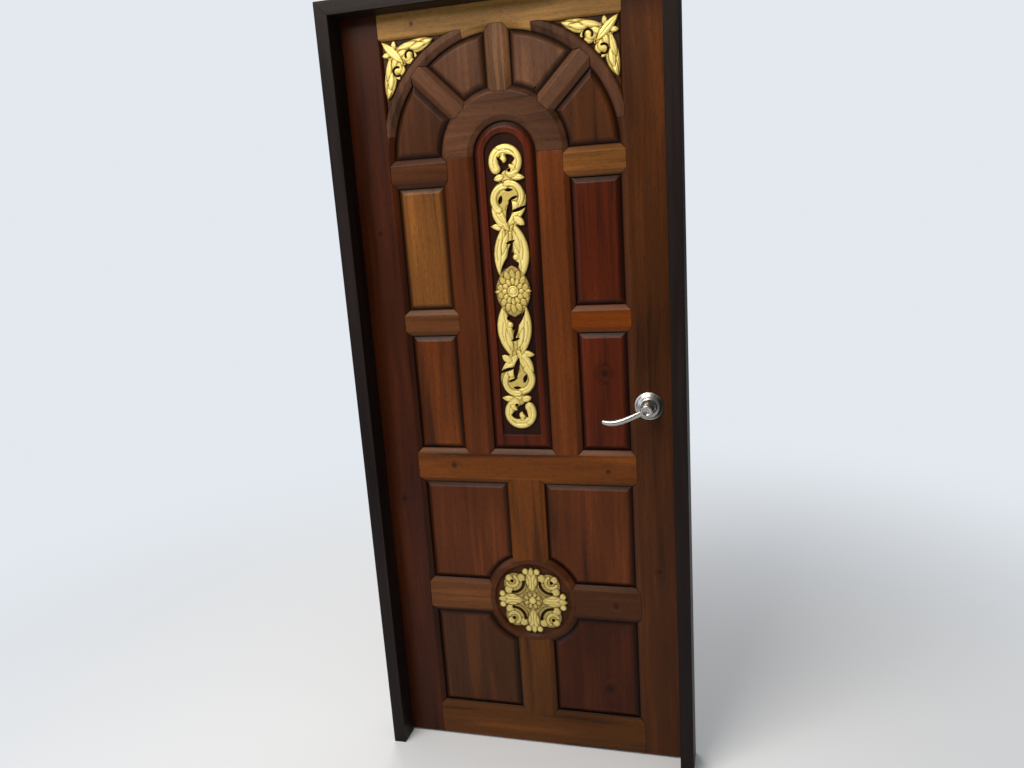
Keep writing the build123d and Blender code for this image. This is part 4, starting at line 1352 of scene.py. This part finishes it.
    def build(self) -> None:
        """Makes and dresses all four."""
        gold, dull_gold = self.finish.material(), self.low_finish.material()
        tall = Ornament(
            self.TALL_HALF + tuple(motif.turned(180) for motif in self.TALL_HALF) + self.LOTUS,
            self.TALL_CUTS + tuple(cut.turned(180) for cut in self.TALL_CUTS),
        )
        Relief("tall_carving", tall, self.tall_middle, self.arched_seat).build(gold)
        corner = Ornament(
            self.CORNER_BODY
            + self.CORNER_HALF
            + tuple(motif.mirrored() for motif in self.CORNER_HALF)
            + self.CORNER_FRONT
        )
        for word, side in (("left", 1.0), ("right", -1.0)):
            middle = (self.corner[0] * side, self.corner[1])
            Relief(f"corner_carving_{word}", corner, middle, self.spandrel_seat, side).build(gold)
        quarters = tuple(
            motif.turned(90 * quarter) for motif in self.ROSETTE_QUARTER for quarter in range(4)
        )
        rosette = Ornament((Knob(0, 0, 68, 10, 0.5),) + quarters + self.ROSETTE_MIDDLE)
        Relief("round_carving", rosette, self.rosette_middle, self.boss_seat).build(dull_gold)


# Hardware


@dataclass
class Hardware:
    """The metal pieces whose CAD shape is right: smooth copies of them with a finish."""

    slots: Mapping[str, str]
    smooth_angle: float = 32.0
    chrome: FinishedMetal = FinishedMetal("satin_chrome_plated_brass", "b7b5b0", 0.31)
    steel: FinishedMetal = FinishedMetal("brushed_stainless_steel", "b3b0ab", 0.34, 0.4, 40.0)
    worn_steel: FinishedMetal = FinishedMetal("rubbed_latch_steel", "a9a6a0", 0.3, 0.4, 30.0)

    def build(self) -> None:
        """Makes and dresses each piece."""
        levers = ("front_lever", "back_lever", "front_rose", "back_rose", "key_plug", "turn_button")
        plates = ("frame_hinge_plates", "leaf_hinge_plates", "hinge_pins", "strike_plate")
        latch = ("latch_bolt", "latch_case", "lever_spindle")
        for finish, nodes in ((self.chrome, levers), (self.steel, plates), (self.worn_steel, latch)):
            material = finish.material()
            for node in nodes:
                settle(self.smoothed(node), body_of(node), material, [node])
                LOG.info("%s: %s", node, finish.name)

    def smoothed(self, node: str) -> bpy.types.Object:
        """A copy of a turned or pressed piece that is shaded as one surface up to its edges.

        Args:
            node: The CAD node's name.

        Returns:
            The new piece.
        """
        data = bpy.data.meshes.new(f"{node}_metal")
        write_smooth(merged(node, 0.0), data)
        data.set_sharp_from_angle(angle=math.radians(self.smooth_angle))
        return new_piece(f"{node}_metal", data)


@dataclass
class Screws:
    """Countersunk cross-head wood screws, one group for each body."""

    head_radius: float = 4.0
    head_depth: float = 2.0
    shank_radius: float = 1.45
    thread_radius: float = 1.95
    thread_pitch: float = 1.8
    length: float = 19.0
    plain_length: float = 6.5
    recess_length: float = 4.6
    recess_width: float = 0.95
    recess_depth: float = 1.4
    tip_length: float = 0.6
    head_sides: int = 32
    shank_sides: int = 20
    thread_steps: int = 14
    ridge_sides: int = 4
    head_edge_share: float = 0.9
    finish: FinishedMetal = FinishedMetal("zinc_plated_screw_steel", "b9b6b0", 0.32, 0.3, 6.0)
    seed: int = 7

    SIZES = (
        "head_radius",
        "head_depth",
        "shank_radius",
        "thread_radius",
        "thread_pitch",
        "length",
        "plain_length",
        "recess_length",
        "recess_width",
        "recess_depth",
    )

    def build(self) -> None:
        """Makes the screws of the frame and of the leaf."""
        material = self.finish.material()
        tree = self._tree(material)
        for node in ("frame_screws", "leaf_screws"):
            heads, ways = self._places(node)
            mesh = bpy.data.meshes.new(f"{node}_turned")
            mesh.from_pydata([tuple(h) for h in heads], [], [])
            way = mesh.attributes.new("way", "FLOAT_VECTOR", "POINT")
            way.data.foreach_set("vector", np.array(ways, np.float32).ravel())
            piece = new_piece(f"{node}_turned", mesh)
            modifier = piece.modifiers.new("screws", "NODES")
            modifier.node_group = tree
            for socket in tree.interface.items_tree:
                if socket.in_out == "INPUT" and socket.name in self.SIZES:
                    modifier[socket.identifier] = getattr(self, socket.name) * MM
            applied(piece)
            settle(piece, body_of(node), material, [node])
            LOG.info("%s: %d screws", node, len(heads))

    def _places(self, node: str) -> tuple[list[Vector], list[Vector]]:
        """Finds each screw of a node.

        Args:
            node: The CAD node that holds the screws.

        Returns:
            The middle of each head's top, and the way in which each shank points.
        """
        mesh = merged(node, 0.0)
        left = set(mesh.verts)
        heads, ways = [], []
        while left:
            island, edge = set(), [next(iter(left))]
            while edge:
                vertex = edge.pop()
                if vertex in island:
                    continue
                island.add(vertex)
                edge.extend(e.other_vert(vertex) for e in vertex.link_edges)
            left -= island
            corners = np.array([v.co for v in island])
            low, high = corners.min(0), corners.max(0)
            middle = (low + high) / 2
            wide = np.hypot(corners[:, 1] - middle[1], corners[:, 2] - middle[2])
            head_x = corners[wide > self.head_radius * self.head_edge_share * MM, 0].mean()
            way = 1.0 if head_x < middle[0] else -1.0
            heads.append(Vector((head_x, middle[1], middle[2])))
            ways.append(Vector((way, 0.0, 0.0)))
        mesh.free()
        order = sorted(range(len(heads)), key=lambda i: tuple(heads[i]))
        return [heads[i] for i in order], [ways[i] for i in order]

    def _tree(self, material: bpy.types.Material) -> Tree:
        """Builds the screw and sets one on each point.

        Args:
            material: The screws' finish.

        Returns:
            The geometry node tree.
        """
        tree = bpy.data.node_groups.new("countersunk_screws", "GeometryNodeTree")
        tree.interface.new_socket("Geometry", in_out="INPUT", socket_type="NodeSocketGeometry")
        for name in self.SIZES:
            tree.interface.new_socket(name, in_out="INPUT", socket_type="NodeSocketFloat")
        tree.interface.new_socket("Geometry", in_out="OUTPUT", socket_type="NodeSocketGeometry")
        size = add_node(tree, "NodeGroupInput").outputs
        parts = [self._turned(tree, size), self._thread(tree, size)]
        whole = node_output(tree, "GeometryNodeJoinGeometry", {"Geometry": parts})
        way = node_output(
            tree, "GeometryNodeInputNamedAttribute", {"Name": "way"}, {"data_type": "FLOAT_VECTOR"}
        )
        roll = node_output(
            tree, "FunctionNodeRandomValue", {2: 0.0, 3: math.pi, "Seed": self.seed}, out=1
        )
        roll = node_output(tree, "ShaderNodeCombineXYZ", {"Z": roll})
        rolled = node_output(tree, "FunctionNodeEulerToRotation", {"Euler": roll})
        aimed = node_output(
            tree, "FunctionNodeAlignRotationToVector", {"Rotation": rolled, "Vector": way}, {"axis": "Z"}
        )
        placed = node_output(
            tree,
            "GeometryNodeInstanceOnPoints",
            {"Points": size["Geometry"], "Instance": whole, "Rotation": aimed},
        )
        real = node_output(tree, "GeometryNodeRealizeInstances", {"Geometry": placed})
        real = node_output(tree, "GeometryNodeSetMaterial", {"Geometry": real, "Material": material})
        add_node(tree, "NodeGroupOutput", {"Geometry": real})
        return tree

    def _turned(self, tree: Tree, size: bpy.types.bpy_prop_collection) -> Socket:
        """The head and the shank, with the cross cut into the head.

        Args:
            tree: The screws' tree.
            size: The tree's input sockets.

        Returns:
            Their geometry.
        """
        head = node_output(
            tree,
            "GeometryNodeMeshCone",
            {
                "Vertices": self.head_sides,
                "Radius Top": size["shank_radius"],
                "Radius Bottom": size["head_radius"],
                "Depth": size["head_depth"],
            },
            {"fill_type": "NGON"},
        )
        shank = node_output(
            tree,
            "GeometryNodeMeshCylinder",
            {"Vertices": self.shank_sides, "Radius": size["shank_radius"], "Depth": size["length"]},
            {"fill_type": "NGON"},
        )
        half = maths(tree, "MULTIPLY", size["length"], 0.5)
        start = node_output(tree, "ShaderNodeCombineXYZ", {"Z": half})
        shank = node_output(tree, "GeometryNodeTransform", {"Geometry": shank, "Translation": start})
        body = node_output(
            tree,
            "GeometryNodeMeshBoolean",
            {"Mesh 2": [head, shank]},
            {"operation": "UNION", "solver": "EXACT"},
        )
        bar = node_output(
            tree,
            "ShaderNodeCombineXYZ",
            {"X": size["recess_length"], "Y": size["recess_width"], "Z": size["recess_depth"]},
        )
        bar = node_output(tree, "GeometryNodeMeshCube", {"Size": bar})
        quarter = (0.0, 0.0, math.pi / 2)
        cross_bar = node_output(tree, "GeometryNodeTransform", {"Geometry": bar, "Rotation": quarter})
        return node_output(
            tree,
            "GeometryNodeMeshBoolean",
            {"Mesh 1": body, "Mesh 2": [bar, cross_bar]},
            {"operation": "DIFFERENCE", "solver": "EXACT"},
        )

    def _thread(self, tree: Tree, size: bpy.types.bpy_prop_collection) -> Socket:
        """A ridge that winds down the shank.

        Args:
            tree: The screws' tree.
            size: The tree's input sockets.

        Returns:
            The ridge's geometry.
        """
        run = maths(tree, "SUBTRACT", size["length"], size["plain_length"])
        run = maths(tree, "SUBTRACT", run, self.tip_length * MM)
        spiral = node_output(
            tree,
            "GeometryNodeCurveSpiral",
            {
                "Resolution": self.thread_steps,
                "Rotations": maths(tree, "DIVIDE", run, size["thread_pitch"]),
                "Start Radius": size["shank_radius"],
                "End Radius": size["shank_radius"],
                "Height": run,
            },
        )
        proud = maths(tree, "SUBTRACT", size["thread_radius"], size["shank_radius"])
        section = node_output(
            tree, "GeometryNodeCurvePrimitiveCircle", {"Resolution": self.ridge_sides, "Radius": proud}
        )
        ridge = node_output(
            tree,
            "GeometryNodeCurveToMesh",
            {"Curve": spiral, "Profile Curve": section, "Fill Caps": True},
        )
        down = node_output(tree, "ShaderNodeCombineXYZ", {"Z": size["plain_length"]})
        return node_output(tree, "GeometryNodeTransform", {"Geometry": ridge, "Translation": down})


# Studio


@dataclass(frozen=True)
class Softbox:
    """A square lamp: where it stands and points, its side, its power and its colour."""

    name: str
    place: tuple[float, float, float]
    target: tuple[float, float, float]
    side: float
    watts: float
    colour: str

    def build(self) -> None:
        """Sets the lamp up."""
        light = bpy.data.lights.new(self.name, "AREA")
        light.shape = "SQUARE"
        light.size = self.side
        light.energy = self.watts
        light.color = linear(self.colour)[:3]
        lamp = bpy.data.objects.new(self.name, light)
        lamp.location = self.place
        aim = Vector(self.target) - Vector(self.place)
        lamp.rotation_euler = aim.to_track_quat("-Z", "Y").to_euler()
        bpy.context.scene.collection.objects.link(lamp)


@dataclass
class Studio:
    """The floor, the light and the camera, in metres and degrees."""

    lamps: tuple[Softbox, ...] = (
        Softbox("ceiling_softbox", (-0.7, -1.7, 3.1), (0.0, 0.0, 1.15), 1.6, 70.0, "fff6ea"),
        Softbox("left_fill", (-2.6, -2.2, 1.6), (0.0, 0.0, 1.0), 1.8, 22.0, "e8f0ff"),
        Softbox("rear_fill", (-1.7, 3.0, 2.6), (0.0, 0.0, 1.0), 2.0, 45.0, "fff8f0"),
    )
    floor_size: float = 24.0
    floor_colour: str = "e8ebee"
    floor_roughness: float = 0.7
    backdrop_colour: str = "e3e9ef"
    haze_start: float = 0.7
    haze_end: float = 3.1
    room_colour: str = "f2f4f8"
    room_light: float = 0.42
    room_shine_colour: str = "e9edf2"
    room_shine: float = 0.12
    camera_place: tuple[float, float, float] = (0.5561, -2.0435, 1.5555)
    camera_heading: float = 15.80
    camera_tilt: float = -12.96
    camera_roll: float = -3.90
    lens: float = 29.08
    sensor: float = 36.0

    def build(self) -> None:
        """Sets up everything round the door."""
        self._floor()
        self._world()
        for lamp in self.lamps:
            lamp.build()
        self._camera()
        bpy.context.scene.view_settings.view_transform = "Standard"
        LOG.info("studio is set")

    def _floor(self) -> None:
        """A wide pale floor that fades into the backdrop for the camera."""
        half = self.floor_size / 2
        mesh = bpy.data.meshes.new("studio_floor")
        corners = [(-half, -half, 0.0), (half, -half, 0.0), (half, half, 0.0), (-half, half, 0.0)]
        mesh.from_pydata(corners, [], [(0, 1, 2, 3)])
        floor = new_piece("studio_floor", mesh)
        material, tree, place = new_material("matt_pale_floor_paint")
        paint = add_node(
            tree,
            "ShaderNodeBsdfPrincipled",
            {"Base Color": linear(self.floor_colour), "Roughness": self.floor_roughness},
        )
        haze = add_node(
            tree, "ShaderNodeEmission", {"Color": linear(self.backdrop_colour), "Strength": 1.0}
        )
        reach = vectors(tree, "LENGTH", place, out="Value")
        far = remapped(tree, reach, (self.haze_start, self.haze_end), curve="SMOOTHSTEP")
        seen = add_node(tree, "ShaderNodeLightPath").outputs["Is Camera Ray"]
        close_material(tree, mixed_shader(tree, maths(tree, "MULTIPLY", far, seen), paint, haze))
        mesh.materials.append(material)

    def _world(self) -> None:
        """Even light all round, which the camera sees as a pale room and glossy faces see darker."""
        world = bpy.data.worlds.new("pale_room")
        bpy.context.scene.world = world
        world.use_nodes = True
        tree = world.node_tree
        tree.nodes.clear()
        rays = add_node(tree, "ShaderNodeLightPath").outputs
        light, shine, seen = [
            add_node(tree, "ShaderNodeBackground", {"Color": linear(colour), "Strength": strength})
            for colour, strength in (
                (self.room_colour, self.room_light),
                (self.room_shine_colour, self.room_shine),
                (self.backdrop_colour, 1.0),
            )
        ]
        light = mixed_shader(tree, rays["Is Glossy Ray"], light, shine)
        light = mixed_shader(tree, rays["Is Camera Ray"], light, seen)
        add_node(tree, "ShaderNodeOutputWorld", {"Surface": light.outputs[0]})

    def _camera(self) -> None:
        """The camera, where the photograph was taken.

        It looks along +Y, turned to the hinge side, then down, then rolled about its own view.
        """
        data = bpy.data.cameras.new("photo_camera")
        data.lens = self.lens
        data.sensor_width = self.sensor
        data.clip_start = 0.01
        data.clip_end = 100.0
        camera = bpy.data.objects.new("photo_camera", data)
        camera.matrix_world = (
            Matrix.Translation(self.camera_place)
            @ Matrix.Rotation(math.radians(self.camera_heading), 4, "Z")
            @ Matrix.Rotation(math.pi / 2 + math.radians(self.camera_tilt), 4, "X")
            @ Matrix.Rotation(math.radians(self.camera_roll), 4, "Z")
        )
        bpy.context.scene.collection.objects.link(camera)
        bpy.context.scene.camera = camera


# The door


def frame_boards() -> tuple[Board, ...]:
    """The stained pieces of the frame.

    Returns:
        The boards, in the order in which the log gives them.
    """
    return (
        Board("hinge_jamb", Stock.STAINED_BLACK, Grain.UPRIGHT, roughness=0.46),
        Board("lock_jamb", Stock.STAINED_BLACK, Grain.UPRIGHT, roughness=0.46),
        Board("frame_head", Stock.STAINED_BLACK, Grain.LEVEL, roughness=0.46),
    )


def leaf_boards() -> tuple[Board, ...]:
    """The varnished pieces of the leaf, each with the tones of its own plank.

    Returns:
        The boards, in the order in which the log gives them.
    """
    up, level = Grain.UPRIGHT, Grain.LEVEL
    return (
        Board("hinge_stile", Stock.BLACK_HEART, up, (Knot(-352, 742, 9), Knot(-345, 1475, 8))),
        Board("lock_stile", Stock.DARK_BROWN, up, (Knot(352, 560, 8),)),
        Board("top_rail", Stock.SAPWOOD, level, (Knot(-210, 1972, 7),)),
        Board("lock_rail", Stock.AMBER, level, (Knot(-196, 846, 11), Knot(226, 836, 9))),
        Board("bottom_rail", Stock.WALNUT_BROWN, level),
        Board("upper_cross_rail_left", Stock.UMBER, level),
        Board("upper_cross_rail_right", Stock.HONEY, level),
        Board("middle_cross_rail_left", Stock.TOBACCO, level),
        Board("middle_cross_rail_right", Stock.ORANGE_BROWN, level),
        Board("upper_mullion_left", Stock.RUSSET, up),
        Board("upper_mullion_right", Stock.CHESTNUT, up),
        Board("arch_ring", Stock.ASH_BROWN, level),
        Board("arch_rib_left", Stock.GREY_BROWN, up),
        Board("arch_rib_right", Stock.ASH_BROWN, up),
        Board("fan_spoke_left", Stock.ASH_BROWN, Grain.FALLING),
        Board("fan_spoke_middle", Stock.PALE_BROWN, up),
        Board("fan_spoke_right", Stock.GREY_BROWN, Grain.RISING),
        Board("lower_cross_rail_left", Stock.TOBACCO, level),
        Board("lower_cross_rail_right", Stock.UMBER, level, (Knot(232, 452, 9),)),
        Board("high_lower_mullion", Stock.AMBER, up),
        Board("low_lower_mullion", Stock.WALNUT_BROWN, up),
        Board("round_boss", Stock.DARK_BROWN, level),
        Board("arched_panel", Stock.MAROON, up),
        Board("spandrel_panel_left", Stock.ASH_BROWN, up),
        Board("spandrel_panel_right", Stock.ASH_BROWN, up),
        Board("outer_fan_panel_left", Stock.UMBER, up),
        Board("outer_fan_panel_right", Stock.DARK_BROWN, up),
        Board("inner_fan_panel_left", Stock.ASH_BROWN, up),
        Board("inner_fan_panel_right", Stock.GREY_BROWN, up),
        Board("upper_side_panel_left", Stock.HONEY, up),
        Board("upper_side_panel_right", Stock.MAROON, up),
        Board("lower_side_panel_left", Stock.CHESTNUT, up),
        Board("lower_side_panel_right", Stock.MAROON, up, (Knot(226, 1096, 12),)),
        Board("high_lower_panel_left", Stock.RUSSET, up),
        Board("high_lower_panel_right", Stock.RUSSET, up),
        Board("low_lower_panel_left", Stock.UMBER, up),
        Board("low_lower_panel_right", Stock.BLACK_HEART, up, (Knot(206, 196, 12),)),
    )


def main() -> None:
    """Builds the door's looks in order."""
    logging.basicConfig(level=logging.INFO, format="%(name)s: %(message)s")
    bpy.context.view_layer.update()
    slots = {row["node"]: row["material_slot"] for row in frame["record"]["subparts"]}
    Joinery(frame_boards(), slots, groove_shade=0.0).build()
    Joinery(leaf_boards(), slots).build()
    Carvings().build()
    Hardware(slots).build()
    Screws().build()
    Studio().build()


if __name__ == "__main__":
    main()
